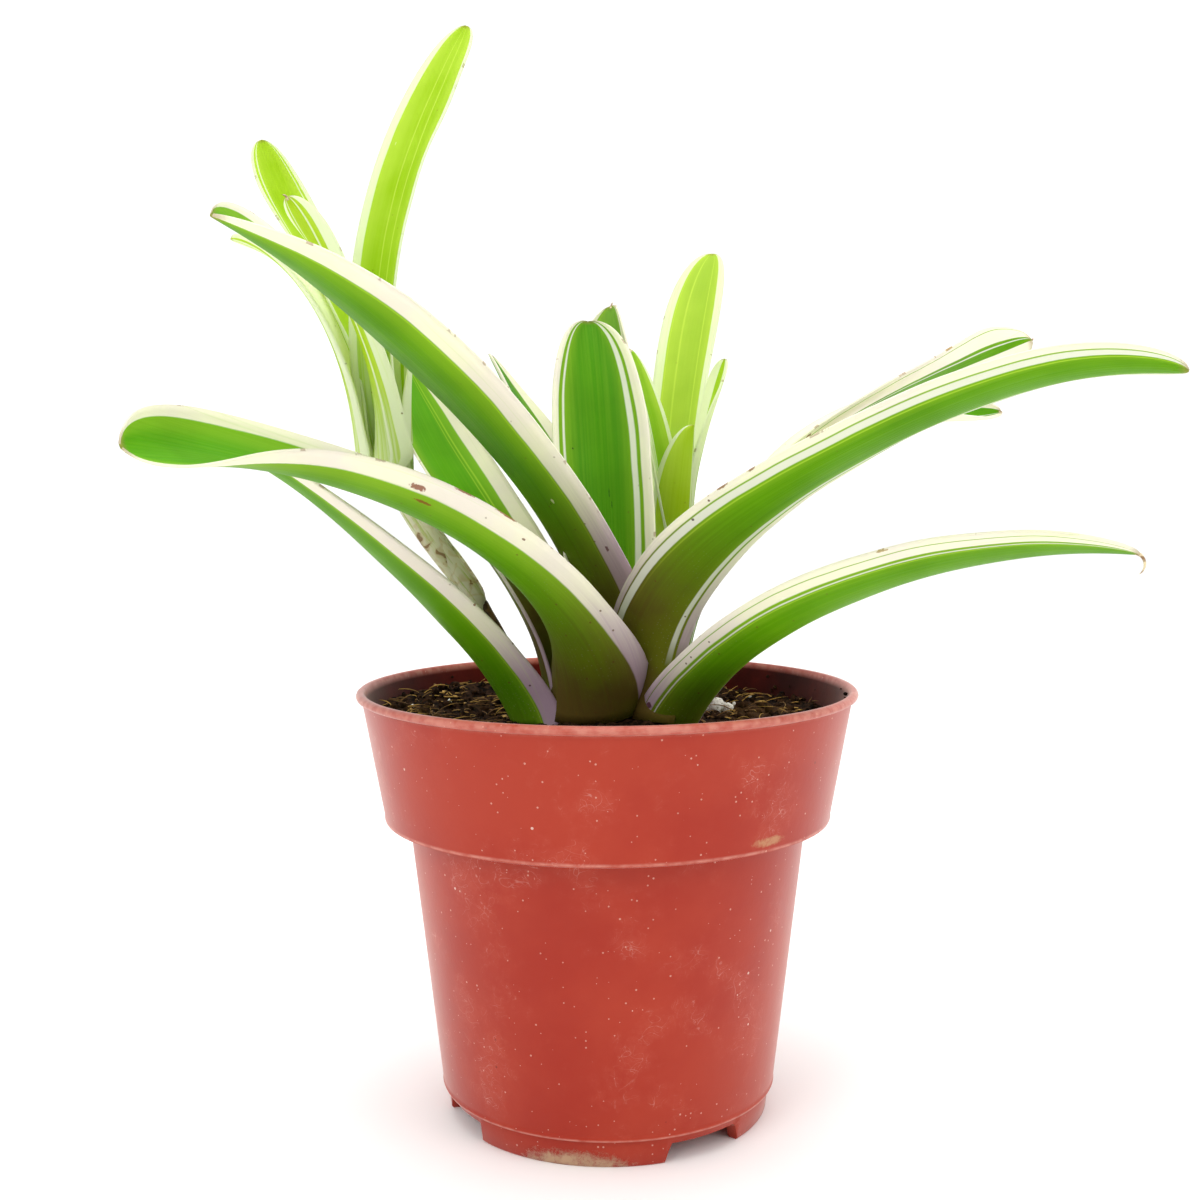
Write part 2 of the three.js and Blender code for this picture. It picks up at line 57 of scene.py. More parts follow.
# Each leaf, in millimetres from the pot axis: base point, length, widest half width, then compass
# heading, rise above the horizon and twist along the leaf in degrees, and the half angle of its channel.
# "tuck" is how far the base is set back behind its neighbours.
LEAVES = {
    "leaf_front_left": dict(
        base=(-5.6, -16, 95.6), length=134, half=16.1, heading=(258, 172, 189, 245),
        rise=(77, 33, 9, 4), twist=(3, -20, 35, -61), channel=(93, 64, 48), sheath=1.25),
    "leaf_low_right": dict(
        base=(14.8, -13, 92.5), length=122, half=9.5, heading=(295, 321, 339, 330),
        rise=(50, 26, 20, -5), twist=(-13, -34, -21, -14), channel=(77, 30, 30), sheath=1.1),
    "leaf_low_left": dict(
        base=(-19.7, -7.4, 92), length=95, half=10.3, heading=(203, 205, 197, 194),
        rise=(74, 27, 54, 29), twist=(12, 39, -12, 18), channel=(55, 18, 23), sheath=1.2),
    "leaf_long_right": dict(
        base=(5.5, -11.2, 96.4), length=159, half=9.5, heading=(293, 317, 332, 328),
        rise=(89, -8, 54, -12), twist=(-79, -18, 2, -33), channel=(39, 17, 38), sheath=1.3, neck=1),
    "leaf_high_left": dict(
        base=(1.6, -8.3, 95.4), length=153, half=17.9, heading=(233, 214, 222, 226),
        rise=(80, 45, 38, 21), twist=(-13, -33, 17, -32), channel=(74, 19, 53), sheath=1.2, neck=1, tuck=18),
    "leaf_centre": dict(
        base=(-0.7, 3.8, 96), length=98, half=14, heading=(110, 105, 105, 100),
        rise=(92, 84, 84, 60), twist=(10, 0, -10, 0), channel=(80, 50, 60), sheath=1),
    "leaf_wide_back_left": dict(
        base=(-13.7, 2.4, 93), length=103, half=13.7, heading=(169, 160, 150, 146),
        rise=(100, 40, 44, 74), twist=(-18, -3, -27, 8), channel=(70, 37, 39), sheath=1.2),
    "leaf_under_right": dict(
        base=(18.5, -3, 94), length=145, half=8.5, heading=(16, 13, 60, 20),
        rise=(94, 53, -6, 7), twist=(-17, -44, -45, 73), channel=(63, 30, 90), sheath=1.2),
    "leaf_back_right": dict(
        base=(11.2, 5, 94.4), length=163, half=14.3, heading=(34, 47, 24, 14),
        rise=(59, 73, -7, 26), twist=(-60, -72, 63, -82), channel=(60, 14, 33), sheath=1.2),
    "leaf_far_back": dict(
        base=(0.6, 11, 95), length=103, half=12, heading=(87, 87, 87, 86),
        rise=(85, 81, 78, 76), twist=(3, -2, -17, -43), channel=(70, 48, 56), sheath=1.2),
    "leaf_back_left": dict(
        base=(-5, 7.4, 95), length=100, half=10.5, heading=(125, 130, 136, 141),
        rise=(110, 68, 43, 56), twist=(1, 7, 17, 28), channel=(70, 44, 24), sheath=1.2, tuck=10),
    "left_lower_bract": dict(
        base=(-30.8, 4.9, 118.4), length=27, half=5.8, heading=(182, 180, 176, 172),
        rise=(59, 55, 52, 54), twist=(0, 0, 0, 0), channel=(168, 150, 100),
        sheath=0.6, neck=1, tip_start=0.5),
    "left_upper_bract": dict(
        base=(-36.6, 4.9, 126.2), length=40, half=7.4, heading=(179, 175, 170, 140),
        rise=(52, 51, 60, 80), twist=(0, 0, 0, 0), channel=(165, 160, 120),
        sheath=0.55, neck=1, tip_start=0.8),
    "left_offset_curled_leaf": dict(
        base=(-60.2, 7, 152), length=70, half=6.3, heading=(190, 186, 180, 179),
        rise=(88, 82, 66, 14), twist=(-10, 0, -37, 24), channel=(80, 40, 12), sheath=1.2, neck=0.9),
    "left_offset_folded_leaf": dict(
        base=(-53.5, 1.2, 152), length=70, half=7.6, heading=(250, 205, 199, 199),
        rise=(90, 80, 55, 60), twist=(0, -15, -38, 50), channel=(80, 60, 40), sheath=1.15, neck=0.9),
    "left_offset_tall_leaf": dict(
        base=(-51, 13.1, 154.1), length=118, half=8.7, heading=(72, 50, 42, 40),
        rise=(122, 75, 64, 60), twist=(-9, -3, 11, 25), channel=(63, 48, 20), sheath=0.9, neck=0.9),
    "left_offset_blunt_leaf": dict(
        base=(-56.5, 12, 156), length=88, half=8, heading=(130, 160, 165, 167),
        rise=(92, 58, 50, 74), twist=(1, -2, -4, -50), channel=(70, 38, 26), sheath=0.9, neck=0.9),
    "left_offset_side_sheath": dict(
        base=(-47.4, 7.5, 153), length=40, half=6.5, heading=(0, 20, 40, 60),
        rise=(90, 96, 92, 85), twist=(0, 0, 0, 0), channel=(75, 60, 50), sheath=1),
    "right_offset_sheath": dict(
        base=(19, 24.5, 126), length=40, half=9, heading=(300, 310, 320, 330),
        rise=(86, 86, 84, 80), twist=(0, 0, 0, 0), channel=(120, 90, 60), sheath=1, neck=1, tip_start=0.4),
    "right_offset_tall_leaf": dict(
        base=(16.8, 33.1, 133), length=90, half=8.9, heading=(75, 73, 69, 59),
        rise=(68, 74, 72, 50), twist=(-40, -17, 1, 8), channel=(61, 36, 36), sheath=0.9, neck=0.9),
    "right_offset_inner_leaf": dict(
        base=(15.3, 28, 134.2), length=52, half=6.9, heading=(223, 197, 184, 172),
        rise=(89, 78, 80, 71), twist=(-69, -59, -28, -15), channel=(77, 19, 18), sheath=0.9, neck=0.9),
    "right_offset_small_leaf": dict(
        base=(22.8, 29, 132), length=52, half=5.4, heading=(20, 10, 4, 1),
        rise=(100, 78, 69, 77), twist=(-5, -21, -10, 42), channel=(60, 39, 37), sheath=0.9, neck=0.9),
}
STOLONS = {
    "left_stolon": ((-18.5, 6, 94.5), (-24, 5, 112), (-30, 4, 130), (-52, 5, 140), (-53, 8, 160)),
    "right_stolon": ((11, 17, 94.5), (13, 20, 108), (14, 24, 118), (18, 26, 130), (18, 28.5, 142)),
}
STOLON_RADIUS = 1.6
OFFSET_FOOT = 0.4                   # width of an offset leaf where it clasps the stolon, against its sheath
OFFSET_FOOT_END = 0.1               # share of the length at which it is as wide as its sheath
TUCK_FADES = (0.2, 0.75)            # a tucked base comes forward again between these shares of the length
LEAF_START = 94.4                   # lowest height of a leaf, just over the rootstock
BLADE_THICKNESS = 1.0
MARGIN_THICKNESS = 0.55
TIP_THICKNESS = 0.5

# Variegation: (from, to, tissue) across the blade, from -1 at one margin to 1 at the other. What isn't
# listed is green tissue. "c" is cream, "w" white, "l" the light yellow-green beside a cream band.
BANDS = {
    "leaf_front_left": [(-1, -.78, "c"), (.72, 1, "c")],
    "leaf_low_right": [(-1, -.86, "c"), (-.85, -.66, "c"), (-.59, -.56, "w"), (-.53, -.51, "l"),
                       (.7, 1, "c")],
    "leaf_low_left": [(-1, -.7, "c"), (.55, .57, "l"), (.6, 1, "c")],
    "leaf_long_right": [(-1, -.84, "c"), (-.80, -.62, "w"), (-.565, -.53, "l"), (.6, .72, "w"),
                        (.78, 1, "c")],
    "leaf_high_left": [(-1, -.8, "c"), (.72, 1, "c"), (.69, .705, "l")],
    "leaf_centre": [(-1, -.8, "c"), (-.72, -.60, "w"), (.66, .72, "w"), (.83, 1, "c")],
    "leaf_wide_back_left": [(-1, -.68, "c"), (-.5, -.47, "l"), (-.42, -.4, "l"), (.92, 1, "c")],
    "leaf_under_right": [(-1, -.3, "c"), (-.2, -.15, "w"), (.45, 1, "c")],
    "leaf_back_right": [(-1, -.9, "c"), (-.89, -.5, "c"), (-.40, -.36, "w"), (-.1, .7, "c"), (.74, 1, "c")],
    "leaf_far_back": [(-1, -.88, "c"), (-.87, -.78, "c"), (-.77, -.6, "c"), (.8, 1, "c")],
    "leaf_back_left": [(-1, -.6, "c"), (.8, 1, "c")],
    "left_offset_curled_leaf": [(-1, -.1, "c"), (0, .3, "w"), (.62, 1, "c")],
    "left_offset_folded_leaf": [(-1, -.55, "c"), (-.35, -.28, "w"), (.3, .38, "w"), (.6, 1, "c")],
    "left_offset_tall_leaf": [(-1, -.9, "c"), (-.25, -.2, "l"), (.1, .14, "l"), (.78, 1, "c")],
    "left_offset_blunt_leaf": [(-1, -.86, "c"), (-.78, -.74, "w"), (.66, .74, "w"), (.9, 1, "c")],
    "left_offset_side_sheath": [(-1, -.4, "w"), (-.2, .1, "c"), (.3, 1, "w")],
    "right_offset_sheath": [(-1, -.85, "w"), (.2, .3, "w"), (.8, 1, "w")],
    "right_offset_tall_leaf": [(-1, -.72, "c"), (-.4, -.36, "l"), (.3, .36, "l"), (.68, .7, "l"),
                               (.74, 1, "c")],
    "right_offset_inner_leaf": [(-1, -.82, "c"), (.1, .2, "c"), (.23, .5, "c"), (.54, 1, "c")],
    "right_offset_small_leaf": [(-1, -.3, "c"), (.3, 1, "c")],
}

# Greens of the underside and the upper side, then how far up the leaf the brown of its base and the
# lilac of its margins reach, as a share of the length.
GROWN = dict(under="#62A003", upper="#5CAA06", brown=0.3, lilac=0.3)
OFFSET = dict(under="#B2D010", upper="#A4CE10", brown=-1, lilac=-1)
LOOKS = {
    "leaf_front_left": dict(GROWN, brown=0.36, lilac=0.26),
    "leaf_low_right": dict(GROWN, brown=0.26, lilac=0.22),
    "leaf_low_left": dict(GROWN, brown=0.16, lilac=0.3),
    "leaf_long_right": dict(GROWN, brown=0.46, lilac=0.32, bare=0.1),
    "leaf_high_left": dict(GROWN, brown=0.48, lilac=0.44),
    "leaf_centre": dict(GROWN, under="#4E9404", upper="#4E9404", brown=0.12, lilac=0.3),
    "leaf_wide_back_left": dict(GROWN, upper="#62B014", brown=0.62, lilac=0.4),
    "leaf_under_right": dict(GROWN),
    "leaf_back_right": dict(GROWN, upper="#64AE10"),
    "leaf_far_back": dict(GROWN, under="#86B844", upper="#7EB23C"),
    "leaf_back_left": dict(GROWN, upper="#4E9A10"),
    "right_offset_inner_leaf": dict(OFFSET, under="#86BE0C", upper="#86BE0C"),
    "right_offset_tall_leaf": dict(OFFSET, under="#AACC3C", upper="#B0D046"),
}

# Old wounds: (share of the length, place across, radius along in mm, radius across in mm, colour)
SCARS = {
    "leaf_front_left": [
        (.535, .8, 2.0, .9, "#8C3F1A"), (.515, .6, 2.2, .5, "#8A4A1E"), (.47, 1, 2.4, .35, "#9A5A2A"),
        (.40, 1, 2.8, .3, "#A0622E"), (.36, .86, .5, .3, "#7A4420")],
    "leaf_high_left": [
        (.39, .48, .8, .5, "#E6DFB4"), (.385, .42, .3, .25, "#5A3A16"), (.29, .84, .9, .5, "#6E3C4C")],
    "leaf_centre": [
        (.65, .5, .3, .3, "#1E2A10"), (.54, -.16, 1.2, .18, "#254A10"), (.51, -.2, 1.0, .14, "#254A10")],
    "leaf_low_right": [(.045, -.76, 1.0, .9, "#5A1030"), (.62, -.98, 1.4, .3, "#B59A5C")],
    "leaf_long_right": [
        (.35, -.76, .4, .4, "#3A1A10"), (.42, -1, 1.8, .35, "#8A5A2C"), (.47, -1, 1.2, .3, "#8A5A2C"),
        (.39, -.9, .3, .3, "#5A2A18")],
    "leaf_back_right": [(.485, -.93, 1.2, .45, "#8A4A24"), (.80, -1, 1.6, .3, "#B08A4A")],
    "leaf_low_left": [(.36, .98, .4, .3, "#8A5A34"), (.12, .7, .3, .3, "#5A3A30")],
    "left_offset_tall_leaf": [(.78, -.5, .3, .25, "#9A8A3A"), (.70, .62, .6, .12, "#E8F4B0")],
}

SPINE_ROOT = 0.8                    # how far a spine starts back inside the blade, in mm
# Dry hooked spine at the end of a leaf: length in mm, and how far it curls over, in degrees
SPINES = {
    "leaf_low_right": (4.5, 130), "leaf_under_right": (3.0, 100), "leaf_back_right": (2.0, -60),
    "right_offset_inner_leaf": (2.2, 100), "left_offset_folded_leaf": (1.6, 80),
    "leaf_low_left": (1.6, 60), "leaf_far_back": (1.2, 20),
}


# ---- colours and nodes ---------------------------------------------------------------------------
def colour(hex_value, alpha=1.0):
    """An sRGB hex value as linear RGBA."""
    channels = [int(hex_value[i : i + 2], 16) / 255 for i in (1, 3, 5)]
    return tuple(c / 12.92 if c <= 0.04045 else ((c + 0.055) / 1.055) ** 2.4 for c in channels) + (alpha,)


def add(tree, kind, inputs=None, out=0, **settings):
    """Adds a shader node with its settings, fills or links its inputs, and returns one output."""
    node = tree.nodes.new("ShaderNode" + kind)
    for key, value in settings.items():
        setattr(node, key, value)
    for key, value in (inputs or {}).items():
        if isinstance(value, bpy.types.NodeSocket):
            tree.links.new(value, node.inputs[key])
        else:
            node.inputs[key].default_value = value
    return node.outputs[out] if node.outputs else node


def new_material(name):
    """An empty material and its node tree."""
    material = bpy.data.materials.new(name)
    material.use_nodes = True
    material.node_tree.nodes.clear()
    return material, material.node_tree


# settings that many nodes share
BLEND = dict(out=2, data_type="RGBA")
EASED = dict(interpolation_type="SMOOTHSTEP")
TIMES = dict(operation="MULTIPLY")
FLAT = dict(noise_dimensions="2D")


# ---- leaf tissue ---------------------------------------------------------------------------------
LIGHT_LINE = colour("#B4DA3C")
CREAM_WARM = colour("#FDF9DE")
CREAM_PINK = colour("#F8EFE2")
SHEATH_BROWN = colour("#6A5026")
SHEATH_OLIVE = colour("#76761A")
SHEATH_LILAC = colour("#BB98B4")
OFFSET_LIGHT = colour("#D8EE60")
OFFSET_WHITE = colour("#F8FBE4")
SCURF = colour("#B9B79E")


def band_masks(tree, placed, bands):
    """Where the cream and the light lines lie across a blade, from a ramp with a stop at each band's edge."""
    ramp = add(tree, "ValToRGB", {0: placed}).node
    green = (0, 0, 0, 1)
    stops = [(0.0, green)]
    edge = 0.005
    for start, end, tissue in sorted(bands):
        mask = {"c": (1, 0, 0, 1), "w": (0.9, 0, 1, 1), "l": (0, 1, 0, 1)}[tissue]
        low, high = (start + 1) / 2, (end + 1) / 2
        if low <= 0:
            stops[0] = (0.0, mask)
        else:
            stops += [(low - edge, green), (low + edge, mask)]
        stops += [(high - edge, mask), (high + edge, green)] if high < 1 else [(1.0, mask)]
    elements = ramp.color_ramp.elements
    elements[0].position, elements[0].color = stops[0]
    elements[1].position, elements[1].color = stops[-1]
    for position, value in stops[1:-1]:
        elements.new(position).color = value
    masks = add(tree, "SeparateColor", {0: ramp.outputs[0]}).node
    return masks.outputs


def leaf_material(name):
    """Living bromeliad leaf: smooth wax over lengthwise veins, thin enough to let light through."""
    material, tree = new_material(name + "_tissue")
    young = "offset" in name
    look = LOOKS.get(name, OFFSET if young else GROWN)
    leaf = LEAVES[name]
    share = add(tree, "SeparateXYZ", {0: add(tree, "UVMap", uv_map="across_along")}).node
    across, along = share.outputs[0], share.outputs[1]
    size = add(tree, "UVMap", uv_map="millimetres")
    upper = add(tree, "SeparateXYZ", {0: add(tree, "UVMap", uv_map="skin")})

    # band edges wander by a few tenths of a millimetre over a few centimetres
    slow = add(tree, "VectorMath", {0: size, 1: (0.05, 0.03, 0)}, **TIMES)
    wander = add(tree, "TexNoise", {"Vector": slow, "Scale": 1.0, "Detail": 3.0}, **FLAT)
    wander = add(tree, "MapRange", {0: wander, 1: 0.0, 2: 1.0, 3: -0.02, 4: 0.02})
    placed = add(tree, "Math", {0: across, 1: wander}, operation="ADD")
    pale, line, whiter = band_masks(tree, placed, BANDS[name])
    if "bare" in look:
        covered = add(tree, "MapRange", {0: along, 1: look["bare"], 2: look["bare"] + 0.05})
        pale = add(tree, "Math", {0: pale, 1: covered}, **TIMES)

    # veins run the length of the blade, a millimetre or so apart, and colour drifts over centimetres
    thread = add(tree, "VectorMath", {0: size, 1: (1.3, 0.012, 0)}, **TIMES)
    veins = add(tree, "TexNoise", {"Vector": thread, "Scale": 1.0, "Detail": 4.0, "Roughness": 0.6}, **FLAT)
    patch = add(tree, "TexNoise", {"Vector": size, "Scale": 0.05, "Detail": 4.0}, **FLAT)
    patchy = add(tree, "MapRange", {0: patch, 1: 0.35, 2: 0.7}, **EASED)
    veined = add(tree, "MapRange", {0: veins, 1: 0.35, 2: 0.8, 4: 0.12}, **EASED)

    light = OFFSET_LIGHT if young else LIGHT_LINE
    green = add(tree, "Mix", {0: upper, 6: colour(look["under"]), 7: colour(look["upper"])}, **BLEND)
    green = add(tree, "Mix", {0: veined, 6: green, 7: light}, **BLEND)
    tint = add(tree, "Math", {0: patchy, 1: 0.3}, **TIMES)
    green = add(tree, "Mix", {0: tint, 6: green, 7: OFFSET_LIGHT if young else colour("#447E04")}, **BLEND)
    # the green yellows towards the margins
    middle = add(tree, "Math", {0: across, 1: 0.5}, operation="SUBTRACT")
    middle = add(tree, "Math", {0: middle}, operation="ABSOLUTE")
    yellowed = add(tree, "MapRange", {0: middle, 1: 0.16, 2: 0.36, 4: 0.35}, **EASED)
    green = add(tree, "Mix", {0: yellowed, 6: green, 7: light}, **BLEND)
    lined = add(tree, "Math", {0: line, 1: 0.75}, **TIMES)
    green = add(tree, "Mix", {0: lined, 6: green, 7: light}, **BLEND)

    if young:
        cream = OFFSET_WHITE
        # sheathing bases are almost white between the veins, with a few brown flecks
        bleached = add(tree, "MapRange", {0: along, 1: 0.42, 2: 0.1, 4: 0.6}, **EASED)
        between = add(tree, "MapRange", {0: veins, 1: 0.62, 2: 0.4, 3: 0.35}, **EASED)
        bleached = add(tree, "Math", {0: bleached, 1: between}, **TIMES)
        green = add(tree, "Mix", {0: bleached, 6: green, 7: OFFSET_WHITE}, **BLEND)
    else:
        # brown and lilac rise from the sheath in uneven tongues that follow the veins
        drift = add(tree, "MapRange", {0: veins, 1: 0.3, 2: 0.7, 3: -0.02, 4: 0.02})
        reach = add(tree, "Math", {0: along, 1: drift}, operation="ADD")
        brown = add(tree, "MapRange", {0: reach, 1: look["brown"], 2: look["brown"] - 0.34, 4: 0.95}, **EASED)
        earth = add(tree, "Mix", {0: patchy, 6: SHEATH_BROWN, 7: SHEATH_OLIVE}, **BLEND)
        green = add(tree, "Mix", {0: brown, 6: green, 7: earth}, **BLEND)
        # silvery scurf: flat scales a third of a millimetre wide, thickest on the sheath
        scale = add(tree, "TexVoronoi", {"Vector": size, "Scale": 1.15}, voronoi_dimensions="2D").node
        scaled = add(tree, "MapRange", {0: scale.outputs["Distance"], 1: 0.2, 2: 0.1}, **EASED)
        few = add(tree, "SeparateColor", {0: scale.outputs["Color"]})
        few = add(tree, "MapRange", {0: few, 1: 0.55, 2: 1.0})
        low = add(tree, "MapRange", {0: along, 1: 0.45, 2: 0.0, 4: 0.45})
        low = add(tree, "Math", {0: low, 1: patchy}, **TIMES)
        low = add(tree, "Math", {0: few, 1: low}, **TIMES)
        scurf = add(tree, "Math", {0: scaled, 1: low}, **TIMES)
        green = add(tree, "Mix", {0: scurf, 6: green, 7: SCURF}, **BLEND)
        cream = add(tree, "Mix", {0: patchy, 6: CREAM_WARM, 7: CREAM_PINK}, **BLEND)
        lilac = add(tree, "MapRange", {0: reach, 1: look["lilac"], 2: look["lilac"] - 0.2, 4: 0.85}, **EASED)
        cream = add(tree, "Mix", {0: lilac, 6: cream, 7: SHEATH_LILAC}, **BLEND)
    pencil = add(tree, "MapRange", {0: veins, 1: 0.6, 2: 0.72, 4: 0.14}, **EASED)
    cream = add(tree, "Mix", {0: pencil, 6: cream, 7: light}, **BLEND)
    cream = add(tree, "Mix", {0: whiter, 6: cream, 7: colour("#F4F2E6")}, **BLEND) if not young else cream
    surface = add(tree, "Mix", {0: pale, 6: green, 7: cream}, **BLEND)

    # a few flecks and punctures half a millimetre wide, most of them low on the leaf
    fleck = add(tree, "TexVoronoi", {"Vector": size, "Scale": 0.3}, voronoi_dimensions="2D").node
    rare = add(tree, "SeparateColor", {0: fleck.outputs["Color"]})
    rare = add(tree, "Math", {0: rare, 1: 0.9}, operation="GREATER_THAN")
    fleck = add(tree, "MapRange", {0: fleck.outputs["Distance"], 1: 0.09, 2: 0.05, 4: 0.8}, **EASED)
    fleck = add(tree, "Math", {0: fleck, 1: rare}, **TIMES)
    lower = add(tree, "MapRange", {0: along, 1: 0.7, 2: 0.2})
    fleck = add(tree, "Math", {0: fleck, 1: lower}, **TIMES)
    surface = add(tree, "Mix", {0: fleck, 6: surface, 7: colour("#6E4A22")}, **BLEND)

    # dried nicks here and there along the very margin, and the browned tip
    dots = add(tree, "TexNoise", {"Vector": size, "Scale": 0.22, "Detail": 3.0}, **FLAT)
    dots = add(tree, "MapRange", {0: dots, 1: 0.66, 2: 0.7}, **EASED)
    rim = add(tree, "MapRange", {0: middle, 1: 0.488, 2: 0.497, 4: 0.55})
    dry = add(tree, "Math", {0: rim, 1: dots}, **TIMES)
    surface = add(tree, "Mix", {0: dry, 6: surface, 7: colour("#94673A")}, **BLEND)
    tip = add(tree, "MapRange", {0: along, 1: 0.988, 2: 1.0, 4: 0.6})
    surface = add(tree, "Mix", {0: tip, 6: surface, 7: colour("#A58A52")}, **BLEND)
    for s, t, long_way, cross_way, tone in SCARS.get(name, []):
        place = add(tree, "CombineXYZ", {0: across, 1: along, 2: 0.0})
        offset = add(tree, "VectorMath", {0: place, 1: ((t + 1) / 2, s, 0)}, operation="SUBTRACT")
        spread = (2 * leaf["half"] / cross_way, leaf["length"] / long_way, 0)
        offset = add(tree, "VectorMath", {0: offset, 1: spread}, **TIMES)
        far = add(tree, "VectorMath", {0: offset}, out=1, operation="LENGTH")
        ragged = add(tree, "TexNoise", {"Vector": size, "Scale": 1.6, "Detail": 2.0}, **FLAT)
        far = add(tree, "Math", {0: far, 1: ragged}, operation="ADD")
        wound = add(tree, "MapRange", {0: far, 1: 1.45, 2: 1.15, 4: 0.85}, **EASED)
        surface = add(tree, "Mix", {0: wound, 6: surface, 7: colour(tone)}, **BLEND)

    rough = add(tree, "MapRange", {0: patch, 1: 0.3, 2: 0.7, 3: 0.42, 4: 0.55})
    bump = add(tree, "Bump", {"Strength": 0.3, "Distance": 0.0003, "Height": veins})
    wax = add(tree, "BsdfPrincipled", {"Base Color": surface, "Roughness": rough, "IOR": 1.4,
              "Specular IOR Level": 0.16, "Normal": bump})
    glow = add(tree, "Mix", {0: 0.5 if young else 0.25, 6: surface, 7: light}, **BLEND)
    through = add(tree, "BsdfTranslucent", {"Color": glow, "Normal": bump})
    both = add(tree, "MixShader", {0: 0.42 if young else 0.2, 1: wax, 2: through})
    add(tree, "OutputMaterial", {0: both})
    return material


def bract_material():
    """Dried sheath leaf: papery white and tan, a green vein or two left in it, and brown cracks."""
    material, tree = new_material("dry_papery_bract")
    size = add(tree, "UVMap", uv_map="millimetres")
    thread = add(tree, "VectorMath", {0: size, 1: (0.7, 0.04, 0)}, **TIMES)
    veins = add(tree, "TexNoise", {"Vector": thread, "Scale": 1.0, "Detail": 5.0, "Roughness": 0.7}, **FLAT)
    blotch = add(tree, "TexNoise", {"Vector": size, "Scale": 0.3, "Detail": 4.0, "Distortion": 0.8}, **FLAT)
    streak = add(tree, "MapRange", {0: veins, 1: 0.5, 2: 0.62}, **EASED)
    paper = add(tree, "Mix", {0: streak, 6: colour("#F8F5E2"), 7: colour("#D3DF94")}, **BLEND)
    tan = add(tree, "MapRange", {0: blotch, 1: 0.5, 2: 0.66, 4: 0.5}, **EASED)
    paper = add(tree, "Mix", {0: tan, 6: paper, 7: colour("#D9C48C")}, **BLEND)
    crack = add(tree, "MapRange", {0: blotch, 1: 0.66, 2: 0.72, 4: 0.8}, **EASED)
    paper = add(tree, "Mix", {0: crack, 6: paper, 7: colour("#94693A")}, **BLEND)
    bump = add(tree, "Bump", {"Strength": 0.4, "Distance": 0.0003, "Height": veins})
    skin = add(tree, "BsdfPrincipled", {"Base Color": paper, "Roughness": 0.6, "Normal": bump})
    through = add(tree, "BsdfTranslucent", {"Color": paper})
    add(tree, "OutputMaterial", {0: add(tree, "MixShader", {0: 0.6, 1: skin, 2: through})})
    return material


def spine_material():
    """Dead leaf tip: horny, red-brown, dull."""
    material, tree = new_material("horny_leaf_spine")
    place = add(tree, "TexCoord", out="Object")
    tone = add(tree, "TexNoise", {"Vector": place, "Scale": 900.0, "Detail": 2.0})
    brown = add(tree, "MapRange", {0: tone, 1: 0.4, 2: 0.6}, **EASED)
    brown = add(tree, "Mix", {0: brown, 6: colour("#8C6A48"), 7: colour("#DCCBA4")}, **BLEND)
    shader = add(tree, "BsdfPrincipled", {"Base Color": brown, "Roughness": 0.6})
    add(tree, "OutputMaterial", {0: shader})
    return material


def stolon_material():
    """Stolon: smooth brown bark over a green stem, ringed by old leaf scars."""
    material, tree = new_material("stolon_bark")
    place = add(tree, "TexCoord", out="Object")
    grain = add(tree, "TexNoise", {"Vector": place, "Scale": 420.0, "Detail": 4.0})
    old = add(tree, "MapRange", {0: grain, 1: 0.4, 2: 0.62}, **EASED)
    bark = add(tree, "Mix", {0: old, 6: colour("#3E2213"), 7: colour("#7A5830")}, **BLEND)
    bump = add(tree, "Bump", {"Strength": 0.5, "Distance": 0.0004, "Height": grain})
    shader = add(tree, "BsdfPrincipled", {"Base Color": bark, "Roughness": 0.55, "Normal": bump})
    add(tree, "OutputMaterial", {0: shader})
    return material


def ring_mask(tree, height, level, spread):
    """1 at one height of the pot and nothing a little above or below it."""
    band = add(tree, "Math", {0: height, 1: level}, operation="SUBTRACT")
    band = add(tree, "Math", {0: band}, operation="ABSOLUTE")
    return add(tree, "MapRange", {0: band, 1: spread, 2: 0.0}, **EASED)


